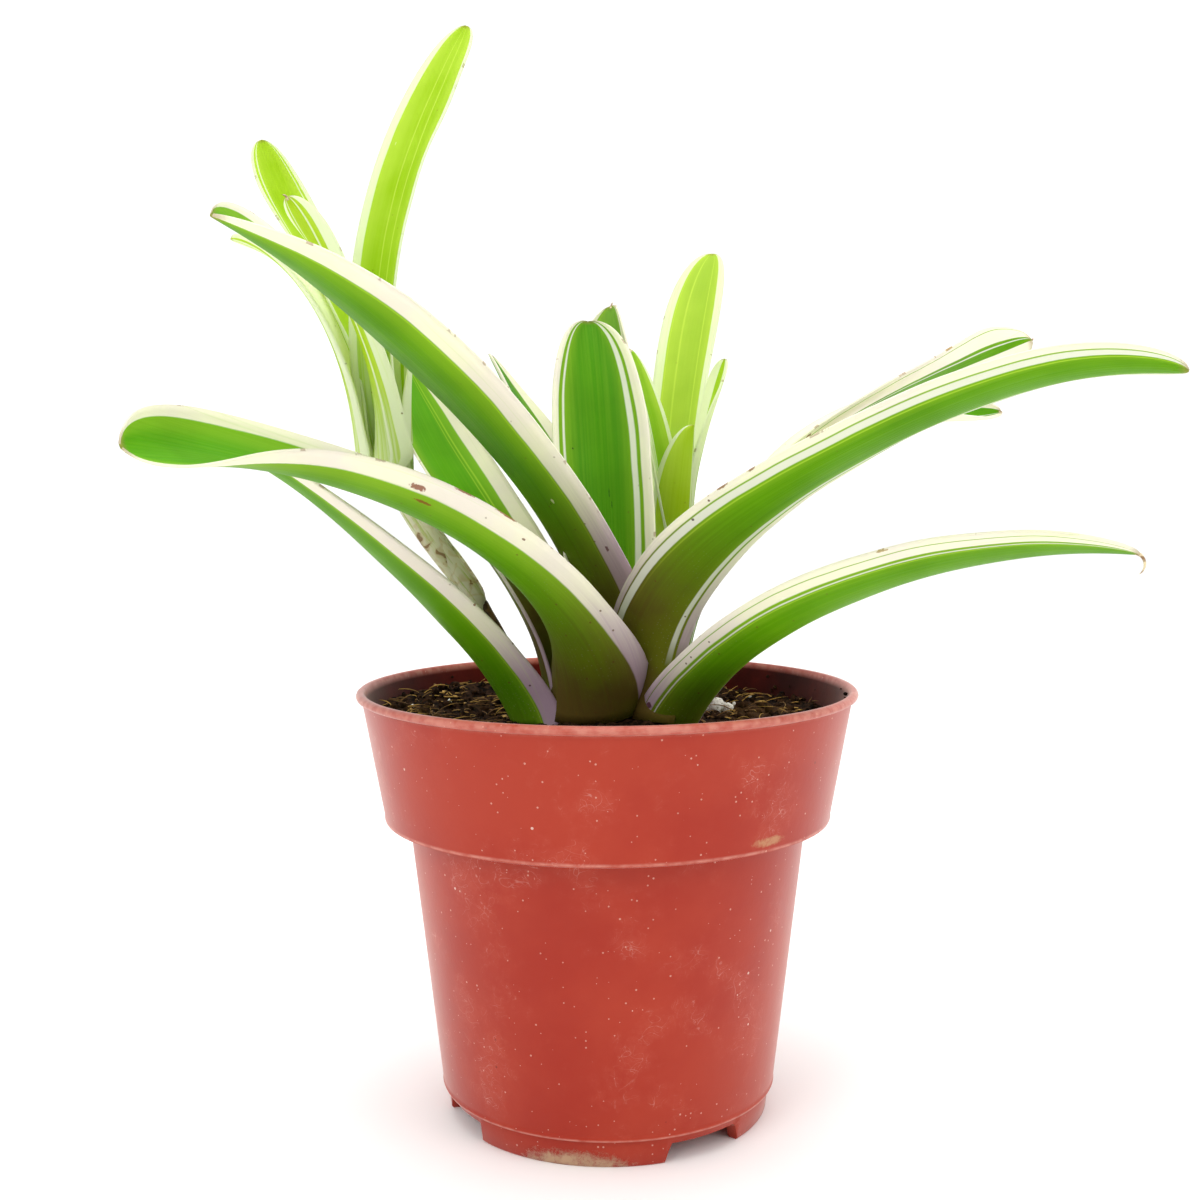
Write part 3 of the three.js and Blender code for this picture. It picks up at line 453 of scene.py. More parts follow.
def pot_material():
    """Injection-moulded polypropylene, brick red: satin skin, handled, dusty and chalky with hard water."""
    material, tree = new_material("moulded_polypropylene")
    point = add(tree, "TexCoord", out="Object")
    place = add(tree, "VectorMath", {0: point, 1: tuple(POT_AXIS)}, operation="SUBTRACT")
    around = add(tree, "SeparateXYZ", {0: place}).node
    height = around.outputs[2]
    cloud = add(tree, "TexNoise", {"Vector": place, "Scale": 22.0, "Detail": 6.0, "Roughness": 0.6})
    cloudy = add(tree, "MapRange", {0: cloud, 1: 0.35, 2: 0.65}, **EASED)
    red = add(tree, "Mix", {0: cloudy, 6: colour("#9C2612"), 7: colour("#A5321C")}, **BLEND)

    # chalky bloom: faint pale veils a centimetre or two across
    veil = add(tree, "TexNoise", {"Vector": place, "Scale": 55.0, "Detail": 7.0, "Roughness": 0.7})
    veiled = add(tree, "MapRange", {0: veil, 1: 0.5, 2: 0.72, 4: 0.2}, **EASED)
    red = add(tree, "Mix", {0: veiled, 6: red, 7: colour("#C4604C")}, **BLEND)

    # hair scratches: thin level lines of a noise, kept only inside worn patches
    worn = add(tree, "MapRange", {0: veil, 1: 0.54, 2: 0.66}, **EASED)
    for scale, strength in ((120.0, 0.2), (210.0, 0.22), (340.0, 0.2)):
        lines = add(tree, "TexNoise", {"Vector": place, "Scale": scale, "Detail": 0.0, "Distortion": 1.5})
        lines = add(tree, "Math", {0: lines, 1: 0.5}, operation="SUBTRACT")
        lines = add(tree, "Math", {0: lines}, operation="ABSOLUTE")
        lines = add(tree, "MapRange", {0: lines, 1: 0.008, 2: 0.002, 4: strength}, **EASED)
        lines = add(tree, "Math", {0: lines, 1: worn}, **TIMES)
        red = add(tree, "Mix", {0: lines, 6: red, 7: colour("#E6BDB2")}, **BLEND)

    # dust: pale grains a tenth of a millimetre across and fewer dark ones, sparse and uneven in size
    for scale, radius, kept, tone in ((380.0, 0.08, 0.92, "#F0DCCE"), (820.0, 0.13, 0.8, "#DDB0A0"),
                                      (240.0, 0.05, 0.93, "#431610")):
        cell = add(tree, "TexVoronoi", {"Vector": place, "Scale": scale}).node
        chance = add(tree, "SeparateColor", {0: cell.outputs["Color"]}).node
        sized = add(tree, "MapRange", {0: chance.outputs[1], 3: radius * 0.5, 4: radius * 1.5})
        grain = add(tree, "Math", {0: sized, 1: cell.outputs["Distance"]}, operation="GREATER_THAN")
        chosen = add(tree, "Math", {0: chance.outputs[0], 1: kept}, operation="GREATER_THAN")
        grain = add(tree, "Math", {0: grain, 1: chosen}, **TIMES)
        grain = add(tree, "Math", {0: grain, 1: 0.55}, **TIMES)
        red = add(tree, "Mix", {0: grain, 6: red, 7: colour(tone)}, **BLEND)

    # edges are rubbed pale at the foot of the collar, the moulding line and the lip; at the collar foot and
    # the lip the pale band is partly a painted highlight
    edge_wear_and_highlight = add(tree, "TexNoise", {"Vector": place, "Scale": 420.0, "Detail": 5.0})
    edge_wear_and_highlight = add(tree, "MapRange", {0: edge_wear_and_highlight, 1: 0.25, 2: 0.7, 3: 0.15, 4: 0.6}, **EASED)
    for level, spread in ((0.0722, 0.0006), (0.0068, 0.0004), (0.1016, 0.002)):
        band = add(tree, "Math", {0: ring_mask(tree, height, level, spread), 1: edge_wear_and_highlight}, **TIMES)
        red = add(tree, "Mix", {0: band, 6: red, 7: colour("#D49484")}, **BLEND)

    # dried mud along the front of the foot, and tan peat stains under the right of the collar
    crust = add(tree, "TexNoise", {"Vector": place, "Scale": 420.0, "Detail": 8.0, "Roughness": 0.85})
    stains = []
    for spot, squash, reach, tone in (((-0.008, -0.0385, 0.0), 3.2, 0.026, "#C0A686"),
                                      ((0.034, -0.0405, 0.0742), 3.8, 0.010, "#B5835C")):
        side = add(tree, "VectorMath", {0: place, 1: spot}, operation="SUBTRACT")
        side = add(tree, "VectorMath", {0: side, 1: (1.0, 1.0, squash)}, **TIMES)
        side = add(tree, "VectorMath", {0: side}, out=1, operation="LENGTH")
        near = add(tree, "MapRange", {0: side, 1: reach, 2: reach * 0.25})
        near = add(tree, "Math", {0: crust, 1: near}, **TIMES)
        stain = add(tree, "MapRange", {0: near, 1: 0.34, 2: 0.5, 4: 0.8})
        red = add(tree, "Mix", {0: stain, 6: red, 7: colour(tone)}, **BLEND)
        stains.append(stain)
    mud = stains[0]

    # inside the wall, above the peat, painted shade darkens the plastic, mottled by the cloud noise
    out = add(tree, "VectorMath", {0: place, 1: (1.0, 1.0, 0.0)}, **TIMES)
    radius = add(tree, "VectorMath", {0: out}, out=1, operation="LENGTH")
    rise = add(tree, "MapRange", {0: height, 1: 0.0725, 2: 0.1005, 3: 0.0534, 4: 0.0584})
    gap = add(tree, "Math", {0: rise, 1: radius}, operation="SUBTRACT")
    inner = add(tree, "MapRange", {0: gap, 1: 0.0005, 2: 0.0009})
    collar = add(tree, "MapRange", {0: height, 1: 0.0727, 2: 0.0735})
    inner = add(tree, "Math", {0: inner, 1: collar}, **TIMES)
    inner_wall_painted_shade = add(tree, "Mix", {0: cloudy, 6: colour("#300A06"), 7: colour("#5C170F")}, **BLEND)
    red = add(tree, "Mix", {0: inner, 6: red, 7: inner_wall_painted_shade}, **BLEND)

    rough = add(tree, "MapRange", {0: cloud, 1: 0.3, 2: 0.7, 3: 0.3, 4: 0.42})
    rough = add(tree, "Math", {0: rough, 1: mud}, operation="MAXIMUM")
    bump = add(tree, "Bump", {"Strength": 0.25, "Distance": 0.0004, "Height": veil})
    bump = add(tree, "Bump", {"Strength": 0.5, "Distance": 0.0005, "Height": mud, "Normal": bump})
    sheen = add(tree, "MapRange", {0: inner, 3: 0.24, 4: 0.02})
    shader = add(tree, "BsdfPrincipled", {"Base Color": red, "Roughness": rough, "IOR": 1.49,
                 "Specular IOR Level": sheen, "Sheen Weight": 0.5, "Sheen Roughness": 0.35,
                 "Sheen Tint": colour("#FFE4DC"), "Normal": bump})
    add(tree, "OutputMaterial", {0: shader})
    return material


def peat_material():
    """Sphagnum peat: dark, crumbly, matte, with paler fibres worked in."""
    material, tree = new_material("sphagnum_peat")
    place = add(tree, "TexCoord", out="Object")
    crumb = add(tree, "TexNoise", {"Vector": place, "Scale": 650.0, "Detail": 5.0})
    patch = add(tree, "TexNoise", {"Vector": place, "Scale": 70.0, "Detail": 3.0})
    shade = add(tree, "MapRange", {0: crumb, 1: 0.35, 2: 0.65}, **EASED)
    dark = add(tree, "Mix", {0: shade, 6: colour("#0F0906"), 7: colour("#3A2618")}, **BLEND)
    mossy = add(tree, "MapRange", {0: patch, 1: 0.5, 2: 0.7, 4: 0.5}, **EASED)
    dark = add(tree, "Mix", {0: mossy, 6: dark, 7: colour("#553C20")}, **BLEND)
    bump = add(tree, "Bump", {"Strength": 0.9, "Distance": 0.0008, "Height": crumb})
    shader = add(tree, "BsdfPrincipled", {"Base Color": dark, "Roughness": 0.95, "Specular IOR Level": 0.05,
                 "Normal": bump})
    add(tree, "OutputMaterial", {0: shader})
    return material


def fibre_material():
    """Coir and moss fibres: thin, golden brown, dry."""
    material, tree = new_material("coir_fibre")
    place = add(tree, "TexCoord", out="Object")
    tone = add(tree, "TexNoise", {"Vector": place, "Scale": 150.0, "Detail": 2.0})
    tone = add(tree, "MapRange", {0: tone, 1: 0.4, 2: 0.6}, **EASED)
    gold = add(tree, "Mix", {0: tone, 6: colour("#6E4C1C"), 7: colour("#BE9444")}, **BLEND)
    add(tree, "OutputMaterial", {0: add(tree, "BsdfPrincipled", {"Base Color": gold, "Roughness": 0.8})})
    return material


def perlite_material():
    """Expanded perlite: white volcanic foam, chalky and pitted."""
    material, tree = new_material("expanded_perlite")
    place = add(tree, "TexCoord", out="Object")
    pits = add(tree, "TexNoise", {"Vector": place, "Scale": 1500.0, "Detail": 3.0})
    open_pits = add(tree, "MapRange", {0: pits, 1: 0.35, 2: 0.5}, **EASED)
    white = add(tree, "Mix", {0: open_pits, 6: colour("#A79A88"), 7: colour("#EDE9E0")}, **BLEND)
    bump = add(tree, "Bump", {"Strength": 0.7, "Distance": 0.0004, "Height": pits})
    shader = add(tree, "BsdfPrincipled", {"Base Color": white, "Roughness": 0.85, "Normal": bump})
    add(tree, "OutputMaterial", {0: shader})
    return material


# ---- leaf shape ----------------------------------------------------------------------------------
def along_curve(values, s):
    """A smooth curve with the given control values, s from 0 to 1."""
    row = list(values)
    while len(row) > 1:
        row = [a * (1 - s) + b * s for a, b in zip(row, row[1:])]
    return row[0]


def ease(start, end, value):
    """0 before the start, 1 past the end, and a smooth step between."""
    t = min(max((value - start) / (end - start), 0.0), 1.0)
    return t * t * (3 - 2 * t)


def blade_outline(leaf, s):
    """Width at a share s of the length: sheath, neck, widest stretch, then the rounded taper of the tip."""
    neck = leaf.get("neck", 0.95)
    tip_start = leaf.get("tip_start", 0.6)
    width = leaf["sheath"] + (neck - leaf["sheath"]) * ease(0, 0.22, s)
    width += (1 - neck) * ease(0.15, 0.5, s)
    past = min(max((s - tip_start) / (1 - tip_start), 0), 1)
    return width * math.sqrt(max(1 - past**leaf.get("tip_power", 2.5), 0.0016))


def blade_frames(leaf, stations, crowding=1.35):
    """Points along the leaf with its side and upper directions, stations closer together near the tip."""
    frames = []
    point = Vector(leaf["base"])
    previous = None
    reached = 0.0
    fine = 3
    for i in range(stations * fine + 1):
        s = 1 - (1 - i / (stations * fine)) ** crowding
        heading = math.radians(along_curve(leaf["heading"], s))
        rise = math.radians(along_curve(leaf["rise"], s))
        twist = math.radians(along_curve(leaf["twist"], s))
        level_part = math.cos(rise)
        tangent = Vector((level_part * math.cos(heading), level_part * math.sin(heading), math.sin(rise)))
        if previous:
            point = point + (tangent + previous) * (leaf["length"] * (s - reached) / 2)
        previous, reached = tangent, s
        level = Vector((-math.sin(heading), math.cos(heading), 0))
        upper = tangent.cross(level)
        side = level * math.cos(twist) + upper * math.sin(twist)
        inward = upper * math.cos(twist) - level * math.sin(twist)
        if i % fine == 0:
            back = leaf.get("tuck", 0) * (1 - ease(*TUCK_FADES, s))
            frames.append((s, point + Vector((0, back, 0)), side, inward, tangent))
    return frames


def build_leaf(name, material, stations=70, across=18, ripple=0.5):
    """A channelled blade as one closed skin, with its margins gently rippled."""
    leaf = LEAVES[name]
    foot_width = OFFSET_FOOT if "offset" in name else 1
    rng = random.Random(name)
    phase = rng.uniform(0, 50)
    frames = blade_frames(leaf, stations)
    bm = bmesh.new()
    share = bm.loops.layers.uv.new("across_along")
    size = bm.loops.layers.uv.new("millimetres")
    skin = bm.loops.layers.uv.new("skin")
    rows = {1: [], 0: []}
    for s, point, side, inward, _ in frames:
        foot = foot_width + (1 - foot_width) * ease(0, OFFSET_FOOT_END, s)
        half = leaf["half"] * blade_outline(leaf, s) * foot
        bend = max(math.radians(along_curve(leaf["channel"], s)), 0.02)
        upper_row, under_row = [], []
        for j in range(across + 1):
            t = 2 * j / across - 1
            angle = bend * t
            centre = point + side * (half * math.sin(angle) / bend)
            centre = centre + inward * (half * (1 - math.cos(angle)) / bend)
            normal = inward * math.cos(angle) - side * math.sin(angle)
            middle = BLADE_THICKNESS + (TIP_THICKNESS - BLADE_THICKNESS) * ease(0.5, 1, s)
            thick = middle + (min(middle, MARGIN_THICKNESS) - middle) * t * t
            wave = noise.noise(Vector((s * leaf["length"] / 16, t * 0.6 + phase, phase)))
            lift = ripple * wave * abs(t) ** 2 * ease(0.12, 0.35, s)
            centre = centre + normal * lift
            upper_row.append((centre + normal * thick / 2, t, s, half))
            under_row.append((centre - normal * thick / 2, t, s, half))
        rows[1].append(upper_row)
        rows[0].append(under_row)
    verts = {}
    for flag, grid in rows.items():
        for i, row in enumerate(grid):
            for j, (place, t, s, half) in enumerate(row):
                verts[flag, i, j] = bm.verts.new(place)

    def face(corners, flag):
        made = bm.faces.new([verts[c] for c in corners])
        made.smooth = True
        for loop, (f, i, j) in zip(made.loops, corners):
            _, t, s, half = rows[f][i][j]
            loop[share].uv = ((t + 1) / 2, s)
            loop[size].uv = (t * half + 40, s * leaf["length"] + phase * 10)
            loop[skin].uv = (flag, 0.5)

    for i in range(stations):
        for j in range(across):
            face([(1, i, j), (1, i + 1, j), (1, i + 1, j + 1), (1, i, j + 1)], 1)
            face([(0, i, j), (0, i, j + 1), (0, i + 1, j + 1), (0, i + 1, j)], 0)
        face([(1, i, 0), (0, i, 0), (0, i + 1, 0), (1, i + 1, 0)], 0)
        face([(1, i, across), (1, i + 1, across), (0, i + 1, across), (0, i, across)], 0)
    for j in range(across):
        face([(1, 0, j), (1, 0, j + 1), (0, 0, j + 1), (0, 0, j)], 0)
        face([(1, stations, j), (0, stations, j), (0, stations, j + 1), (1, stations, j + 1)], 0)
    bmesh.ops.recalc_face_normals(bm, faces=bm.faces)
    # nothing of the leaf goes below the height at which it leaves the rootstock
    cut = bm.verts[:] + bm.edges[:] + bm.faces[:]
    made = bmesh.ops.bisect_plane(
        bm, geom=cut, plane_co=(0, 0, LEAF_START), plane_no=(0, 0, 1), clear_inner=True)
    edges = [e for e in made["geom_cut"] if isinstance(e, bmesh.types.BMEdge)]
    if edges:
        for cap in bmesh.ops.holes_fill(bm, edges=edges, sides=0)["faces"]:
            for loop in cap.loops:
                loop[share].uv = (0.5, 0.0)
    return place_piece(name + "_blade", bm, material, [name])


def place_piece(name, bm, material, nodes=()):
    """Makes an object from millimetre geometry round the pot axis, and lets it ride on the plant."""
    bmesh.ops.transform(bm, matrix=Matrix.Translation(POT_AXIS) @ Matrix.Scale(MM, 4), verts=bm.verts)
    mesh = bpy.data.meshes.new(name)
    bm.to_mesh(mesh)
    bm.free()
    mesh.materials.append(material)
    piece = bpy.data.objects.new(name, mesh)
    bpy.context.scene.collection.objects.link(piece)
    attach(piece, BODY)
    if nodes:
        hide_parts(*nodes)
    return piece


def build_spine(name, material, stations=10, facets=6):
    """The dry hook that ends a leaf: a tapered thorn that curls over from the blade's own direction."""
    length, curl = SPINES[name]
    leaf = LEAVES[name]
    _, point, side, inward, tangent = blade_frames(leaf, 70)[-1]
    point = point - tangent * SPINE_ROOT + inward * 0.1
    bm = bmesh.new()
    rings = []
    for i in range(stations + 1):
        s = i / stations
        angle = math.radians(curl * s)
        ahead = tangent * math.cos(angle) - inward * math.sin(angle)
        if i:
            point = point + ahead * (length + SPINE_ROOT) / stations
        lift = inward * math.cos(angle) + tangent * math.sin(angle)
        radius = 0.4 * (1 - s) ** 0.8 + 0.05
        turns = [2 * math.pi * j / facets for j in range(facets)]
        spokes = [side * math.cos(a) + lift * math.sin(a) for a in turns]
        rings.append([bm.verts.new(point + spoke * radius) for spoke in spokes])
    close_tube(bm, rings)
    return place_piece(name + "_spine", bm, material, [])


def close_tube(bm, rings):
    """Skins a row of rings and caps both ends."""
    for a, b in zip(rings, rings[1:]):
        for j in range(len(a)):
            k = (j + 1) % len(a)
            bm.faces.new((a[j], a[k], b[k], b[j])).smooth = True
    bm.faces.new(rings[0][::-1])
    bm.faces.new(rings[-1])
    bmesh.ops.recalc_face_normals(bm, faces=bm.faces)


paper = bract_material()
horn = spine_material()
for leaf_name in LEAVES:
    if "bract" in leaf_name:
        build_leaf(leaf_name, paper, stations=30, across=20, ripple=0.5)
    else:
        build_leaf(leaf_name, leaf_material(leaf_name))
for leaf_name in SPINES:
    build_spine(leaf_name, horn)


# ---- stolons -------------------------------------------------------------------------------------
def build_stolon(name, material, stations=60, facets=20):
    """A creeping stem, slightly swollen at its nodes."""
    path = STOLONS[name]
    bm = bmesh.new()
    rings = []
    for i in range(stations + 1):
        s = i / stations
        centre = Vector([along_curve([p[k] for p in path], s) for k in range(3)])
        ahead = Vector([along_curve([p[k] for p in path], s + 0.01) for k in range(3)])
        tangent = (ahead - centre).normalized()
        across = Vector((0, 1, 0)).cross(tangent).normalized()
        depth = tangent.cross(across)
        knot = 0.12 * max(0, math.cos(s * math.pi * 10)) ** 6
        ring = []
        for j in range(facets):
            angle = 2 * math.pi * j / facets
            rough = 0.04 * noise.noise(Vector((s * 14, j * 0.7, 3.1)))
            radius = STOLON_RADIUS * (0.95 + knot + rough)
            spoke = across * math.cos(angle) + depth * math.sin(angle)
            ring.append(bm.verts.new(centre + spoke * radius))
        rings.append(ring)
    close_tube(bm, rings)
    return place_piece(name + "_stem", bm, material, [name])


bark = stolon_material()
for stolon_name in STOLONS:
    build_stolon(stolon_name, bark)

# ---- pot -----------------------------------------------------------------------------------------
# (radius, height) in mm round the wall, from the underside of the floor out, up, over the lip and down
POT_PROFILE = (
    (0, 5.2), (30, 5.2), (36.4, 5.2), (36.2, 4.6), (36.0, 0.4), (36.4, 0), (38.3, 0), (38.7, 0.5),
    (39.4, 6.3), (40.4, 6.5), (40.6, 6.9), (40.4, 7.3), (40.6, 8.2), (47.7, 69.8), (47.9, 71.2), (48.4, 71.6),
    (53.0, 71.6), (53.6, 71.8), (53.75, 72.3), (53.7, 73), (58.4, 99.4), (58.6, 100.4), (59.3, 100.6),
    (59.8, 100.9), (60, 101.4), (59.8, 102), (59.3, 102.4), (58.6, 102.5), (58.1, 102.3), (57.9, 101.8),
    (57.3, 99.9), (52.5, 73.3), (46.7, 72.5), (39.0, 7.1), (38.0, 6.5), (30, 6.5), (0, 6.5),
)
FOOT_LEVELS = range(3, 8)           # profile points of the foot ring, raised over a notch
FOOT_EDGES = (4, 7)                 # the two of them that stay a little higher, which rounds the ring
EDGE_RISE = 0.1
NOTCHES = (-64, 34.5, 118, 206)     # middle of each notch in the foot ring, in degrees from the front
NOTCH_SPAN = 30
NOTCH_HEIGHT = 4.3
WALL_SWAY = 0.12                    # how far the moulded wall is out of true
DRAIN_COUNT = 6
DRAIN_CIRCLE = 22
DRAIN_RADIUS = 3.5


def drill_floor(pot):
    """Cuts the round drain holes through the floor."""
    bm = bmesh.new()
    for i in range(DRAIN_COUNT):
        turn = Matrix.Rotation(2 * math.pi * i / DRAIN_COUNT, 4, "Z")
        spot = turn @ Matrix.Translation((DRAIN_CIRCLE, 0, POT_PROFILE[0][1]))
        bmesh.ops.create_cone(
            bm, cap_ends=True, segments=40, radius1=DRAIN_RADIUS, radius2=DRAIN_RADIUS, depth=6, matrix=spot)
    bmesh.ops.transform(bm, matrix=Matrix.Translation(POT_AXIS) @ Matrix.Scale(MM, 4), verts=bm.verts)
    mesh = bpy.data.meshes.new("drills")
    bm.to_mesh(mesh)
    bm.free()
    drills = bpy.data.objects.new("drills", mesh)
    bpy.context.scene.collection.objects.link(drills)
    drills.matrix_world = pot.matrix_world
    cut = pot.modifiers.new("drain_holes", "BOOLEAN")
    cut.operation, cut.solver, cut.object = "DIFFERENCE", "EXACT", drills
    bpy.context.view_layer.update()
    drilled = bpy.data.meshes.new_from_object(pot.evaluated_get(bpy.context.evaluated_depsgraph_get()))
    pot.modifiers.clear()
    pot.data = drilled
    bpy.data.objects.remove(drills)


def build_pot(material, segments=288):
    """The thin moulded pot, turned from its profile, with the foot ring raised over each notch."""
    bm = bmesh.new()
    columns = []
    ends = [bm.verts.new((0, 0, POT_PROFILE[0][1])), bm.verts.new((0, 0, POT_PROFILE[-1][1]))]
    for i in range(segments):
        angle = 360 * i / segments
        inside = min(abs((angle - notch + 180) % 360 - 180) for notch in NOTCHES)
        raised = NOTCH_HEIGHT * (1 - ease(NOTCH_SPAN / 2 - 1.2, NOTCH_SPAN / 2 + 0.4, inside))
        turn = math.radians(angle - 90)
        column = []
        for k, (radius, z) in enumerate(POT_PROFILE[1:-1], start=1):
            if k in FOOT_LEVELS:
                z = max(z, raised + EDGE_RISE * (k in FOOT_EDGES))
            sway = WALL_SWAY * noise.noise(Vector((math.cos(turn) * 1.3, math.sin(turn) * 1.3, z / 40)))
            reach = radius + sway
            column.append(bm.verts.new((reach * math.cos(turn), reach * math.sin(turn), z)))
        columns.append(column)
    for a, b in zip(columns, columns[1:] + columns[:1]):
        for k in range(len(a) - 1):
            bm.faces.new((a[k], b[k], b[k + 1], a[k + 1])).smooth = True
        bm.faces.new((ends[0], b[0], a[0]))
        bm.faces.new((ends[1], a[-1], b[-1]))
    bmesh.ops.recalc_face_normals(bm, faces=bm.faces)
    pot = place_piece("nursery_pot_shell", bm, material, ["pot"])
    drill_floor(pot)
    pot.data.set_sharp_from_angle(angle=math.radians(50))
    return pot


build_pot(pot_material())


# ---- peat ----------------------------------------------------------------------------------------
SOIL_TOP = 92.5
SOIL_RADIUS = 56.3
SOIL_SWELL = 0.38                   # half height of the broad rises and dips
SOIL_CRUMB = 0.9                    # half height of the crumbs
SOIL_BANK = 2.8                     # how far the peat climbs towards the wall
SOIL_LEAN = 1.7                     # how much higher it lies at the left back
SOIL_MOUND = 3.3                    # how far it is heaped round the bases of the leaves
LUMP_COUNT = 1300
FIBRE_COUNT = 800
SPLASH_COUNT = 60
FIBRE_STEPS = 5
FIBRE_REACH = SOIL_RADIUS - 0.6     # no fibre pokes into the wall
# place on the peat and size of each grain; the first four lie together as one lump
PERLITE = (
    (27.9, 19, 2.2), (30.6, 18, 1.7), (29.5, 21.5, 1.8), (25.6, 20, 1.3), (-40, 18, 0.8), (38, 33, 0.9),
    (-36, -22, 1.1), (12, -40, 0.9), (44, -8, 0.8), (-12, 44, 1.0), (-48, 6, 0.7), (33, 25, 0.7),
)
# (radius, height) of the plug below its top, down the wall to the floor and in along it
PLUG_BELOW = ((56.0, 91), (52.0, 76), (46.1, 73), (38.4, 8), (37.4, 7), (2, 7))


def soil_height(x, y):
    """Height of the peat above its mean level: swells, crumbs, bank at the wall, mound in the middle."""
    broad = math.sin(x * 0.11 + 0.7) + math.cos(y * 0.13 - x * 0.05)
    fine = 0.5 * math.sin(x * 0.37 - y * 0.29) + 0.4 * math.cos(x * 0.23 + y * 0.51)
    crumb = noise.noise(Vector((x * 0.45, y * 0.45, 1.7)))
    crumb += 0.6 * noise.noise(Vector((x * 1.1, y * 1.1, 5.2)))
    outward = ease(24, 54, math.hypot(x, y))
    left_back = outward * min(max((y - x) / 56, -0.4), 1)
    inward = 1 - ease(17, 30, math.hypot(x, y))
    height = SOIL_SWELL * (broad + fine) + SOIL_CRUMB * crumb
    return height + SOIL_BANK * outward + SOIL_LEAN * left_back + SOIL_MOUND * inward


def build_soil(material, segments=200):
    """The plug of peat with its crumbly top."""
    bm = bmesh.new()
    radii = [2 + 1.05 * i for i in range(52)]
    rings = []
    for radius in radii:
        turns = [2 * math.pi * i / segments for i in range(segments)]
        spots = [(radius * math.cos(a), radius * math.sin(a)) for a in turns]
        rings.append([bm.verts.new((x, y, SOIL_TOP + soil_height(x, y))) for x, y in spots])
    for radius, z in PLUG_BELOW:
        turns = [2 * math.pi * i / segments for i in range(segments)]
        rings.append([bm.verts.new((radius * math.cos(a), radius * math.sin(a), z)) for a in turns])
    close_tube(bm, rings)
    return place_piece("peat_plug", bm, material, ["soil"])


def soil_spot(rng, inner=24.0):
    """A place on the peat between the leaves and the wall, as likely anywhere."""
    radius = math.sqrt(rng.uniform(inner**2, (SOIL_RADIUS - 1.5) ** 2))
    angle = rng.uniform(0, 2 * math.pi)
    return radius * math.cos(angle), radius * math.sin(angle)


def add_lump(bm, rng, centre, size):
    """One crumb: a dented pebble."""
    made = bmesh.ops.create_icosphere(bm, subdivisions=2, radius=size)
    seed = rng.uniform(0, 100)
    stretch = Vector([rng.uniform(0.7, 1.2) for _ in range(3)])
    for vert in made["verts"]:
        dent = 1 + 0.5 * noise.noise(vert.co * (1.6 / size) + Vector((seed, 0, 0)))
        vert.co = Vector([a * b for a, b in zip(vert.co * dent, stretch)]) + centre
        for face in vert.link_faces:
            face.smooth = True


def build_lumps(material):
    """Crumbs of peat lying on the plug, and splashes of it stuck to the wall."""
    rng = random.Random(11)
    bm = bmesh.new()
    for _ in range(LUMP_COUNT):
        x, y = soil_spot(rng)
        size = 0.25 + 1.0 * rng.random() ** 3
        add_lump(bm, rng, Vector((x, y, SOIL_TOP + soil_height(x, y) + size * 0.3)), size)
    for _ in range(SPLASH_COUNT):
        z = rng.uniform(94, 101)
        radius = 57.1 - (100.4 - z) * 0.18
        angle = rng.uniform(0, 2 * math.pi)
        place = Vector((radius * math.cos(angle), radius * math.sin(angle), z))
        add_lump(bm, rng, place, 0.2 + 0.35 * rng.random() ** 2)
    return place_piece("peat_crumbs", bm, material, [])


def build_fibres(material):
    """Coir threads and flat golden flakes lying over the peat and sticking up out of it."""
    rng = random.Random(23)
    bm = bmesh.new()
    for number in range(FIBRE_COUNT):
        x, y = soil_spot(rng)
        flake = number % 3 == 0
        length = rng.uniform(1.2, 2.6) if flake else rng.uniform(2.5, 8)
        width = rng.uniform(0.35, 0.7) if flake else rng.uniform(0.1, 0.2)
        heading = rng.uniform(0, 2 * math.pi)
        rise = rng.uniform(-0.1, 0.7)
        bend = rng.uniform(-1.6, 1.6)
        point = Vector((x, y, SOIL_TOP + soil_height(x, y) + 0.3))
        rings = []
        for i in range(FIBRE_STEPS + 1):
            turned = heading + bend * i / FIBRE_STEPS
            ahead = Vector((math.cos(turned), math.sin(turned), math.sin(rise) * (1 - i / 3)))
            side = Vector((-math.sin(turned), math.cos(turned), 0))
            thin = width * (1 - 0.7 * (i / FIBRE_STEPS) ** 2)
            up = Vector((0, 0, thin * (0.25 if flake else 0.9)))
            corners = (point + side * thin, point + up, point - side * thin, point - up)
            rings.append([bm.verts.new(corner) for corner in corners])
            point = point + ahead * length / FIBRE_STEPS
            if point.xy.length > FIBRE_REACH:
                point.xy = point.xy.normalized() * FIBRE_REACH
        close_tube(bm, rings)
    return place_piece("coir_fibres", bm, material, [])


def build_perlite(material):
    """White grains half sunk in the peat."""
    rng = random.Random(5)
    bm = bmesh.new()
    for x, y, size in PERLITE:
        add_lump(bm, rng, Vector((x, y, SOIL_TOP + soil_height(x, y) + size * 0.4)), size)
    return place_piece("perlite_grains", bm, material, [])


peat = peat_material()
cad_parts["rootstock"].data.materials.clear()
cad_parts["rootstock"].data.materials.append(peat)
build_soil(peat)
build_lumps(peat)
build_fibres(fibre_material())
build_perlite(perlite_material())

# ---- studio --------------------------------------------------------------------------------------
scene = bpy.context.scene
scene.view_settings.view_transform = "Standard"
scene.view_settings.look = "None"


def pale_floor():
    """White painted board."""
    material, tree = new_material("pale_painted_board")
    shader = add(tree, "BsdfPrincipled", {"Base Color": colour("#FBFBFA"), "Roughness": 0.8})
    add(tree, "OutputMaterial", {0: shader})
    bm = bmesh.new()
    bmesh.ops.create_grid(bm, x_segments=1, y_segments=1, size=8.0)
    mesh = bpy.data.meshes.new("floor")
    bm.to_mesh(mesh)
    bm.free()
    mesh.materials.append(material)
    floor = bpy.data.objects.new("floor", mesh)
    scene.collection.objects.link(floor)


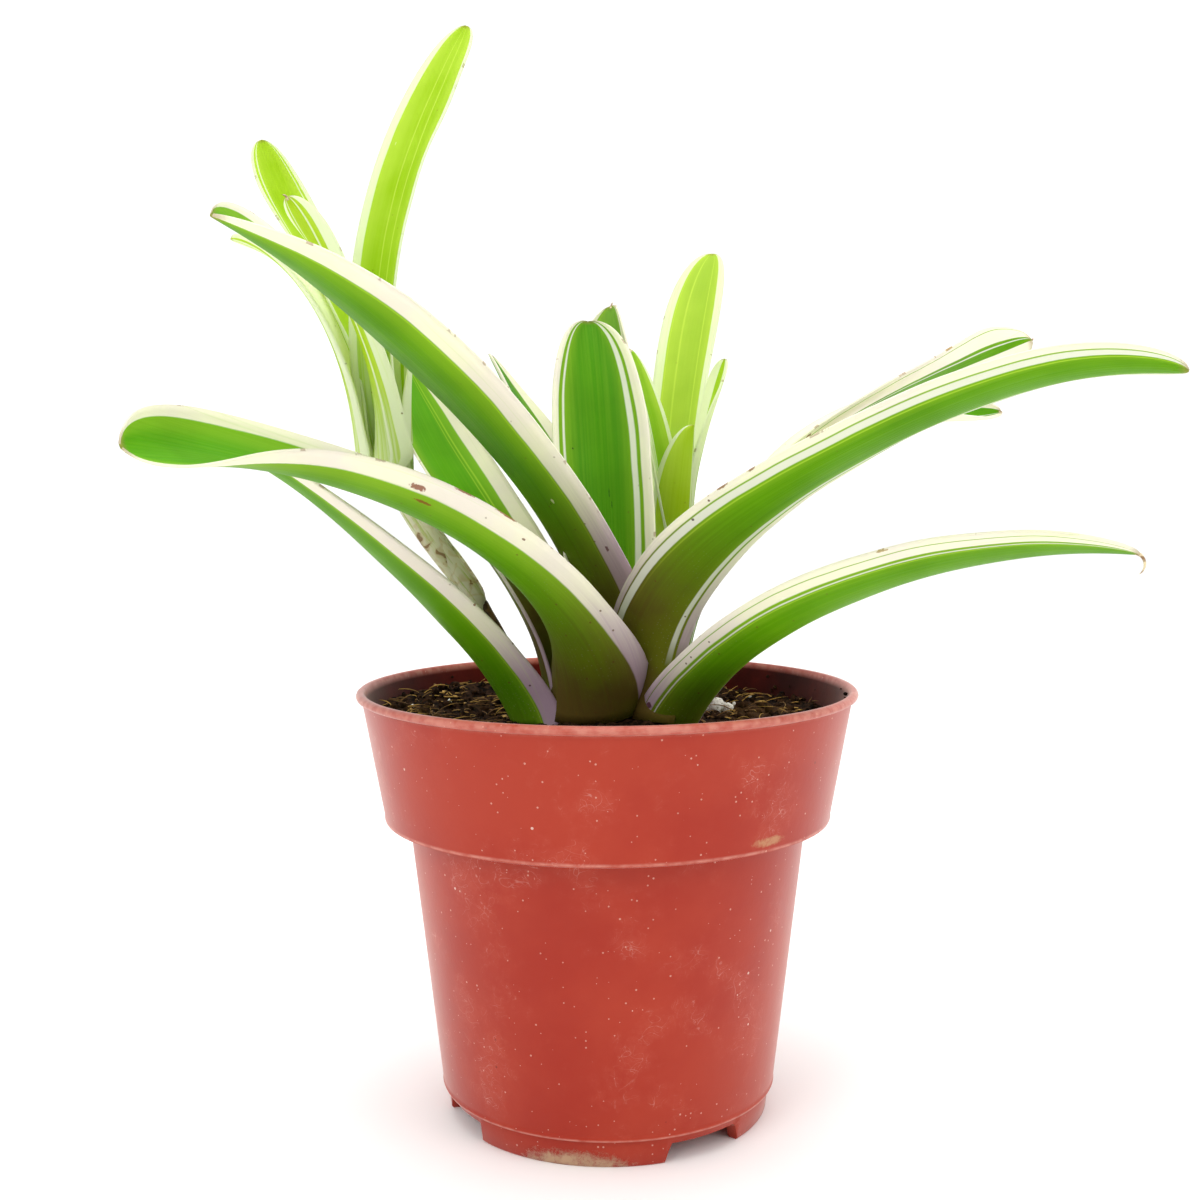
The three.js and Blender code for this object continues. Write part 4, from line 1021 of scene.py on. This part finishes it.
def soft_light(name, place, target, size, power):
    """A round softbox turned towards the target."""
    lamp = bpy.data.lights.new(name, "AREA")
    lamp.shape = "DISK"
    lamp.size = size
    lamp.energy = power
    holder = bpy.data.objects.new(name, lamp)
    holder.location = place
    holder.rotation_euler = (Vector(target) - Vector(place)).to_track_quat("-Z", "Y").to_euler()
    scene.collection.objects.link(holder)


def white_studio():
    """White walls behind and beside the plant, darker room in front of it."""
    world = bpy.data.worlds.new("white_studio")
    world.use_nodes = True
    tree = world.node_tree
    tree.nodes.clear()
    direction = add(tree, "SeparateXYZ", {0: add(tree, "TexCoord", out="Generated")}).node
    behind = add(tree, "MapRange", {0: direction.outputs[1], 1: -0.9, 2: -0.1, 3: 0.3, 4: 1.15}, **EASED)
    above = add(tree, "MapRange", {0: direction.outputs[2], 1: 0.25, 2: 0.8, 3: 0.3, 4: 1.15}, **EASED)
    strength = add(tree, "Math", {0: behind, 1: above}, operation="MAXIMUM")
    sky = add(tree, "Background", {"Color": (1, 1, 1, 1), "Strength": strength})
    add(tree, "OutputWorld", {0: sky})
    scene.world = world


pale_floor()
white_studio()
soft_light("overhead_softbox", (0, -0.1, 1.4), (0, 0, 0), 1.2, 8.5)
soft_light("key_softbox", (-0.7, -0.9, 0.8), (0, 0, 0.12), 0.7, 4)
soft_light("fill_softbox", (0.9, -0.6, 0.5), (0, 0, 0.12), 0.7, 2.5)

CAMERA_FROM_AXIS = Vector((-1.63, -356.3, 153.2)) * MM
CAMERA_DOWN, CAMERA_ROLL = 4.81, -0.22      # degrees
LENS, SENSOR = 44.53, 36                    # millimetres
camera_data = bpy.data.cameras.new("camera")
camera_data.sensor_width = SENSOR
camera_data.lens = LENS
camera_data.clip_start = 0.01
camera = bpy.data.objects.new("camera", camera_data)
camera.location = POT_AXIS + CAMERA_FROM_AXIS
tilt = Matrix.Rotation(math.radians(90 - CAMERA_DOWN), 4, "X")
roll = Matrix.Rotation(math.radians(CAMERA_ROLL), 4, "Z")
camera.rotation_euler = (tilt @ roll).to_euler()
scene.collection.objects.link(camera)
scene.camera = camera
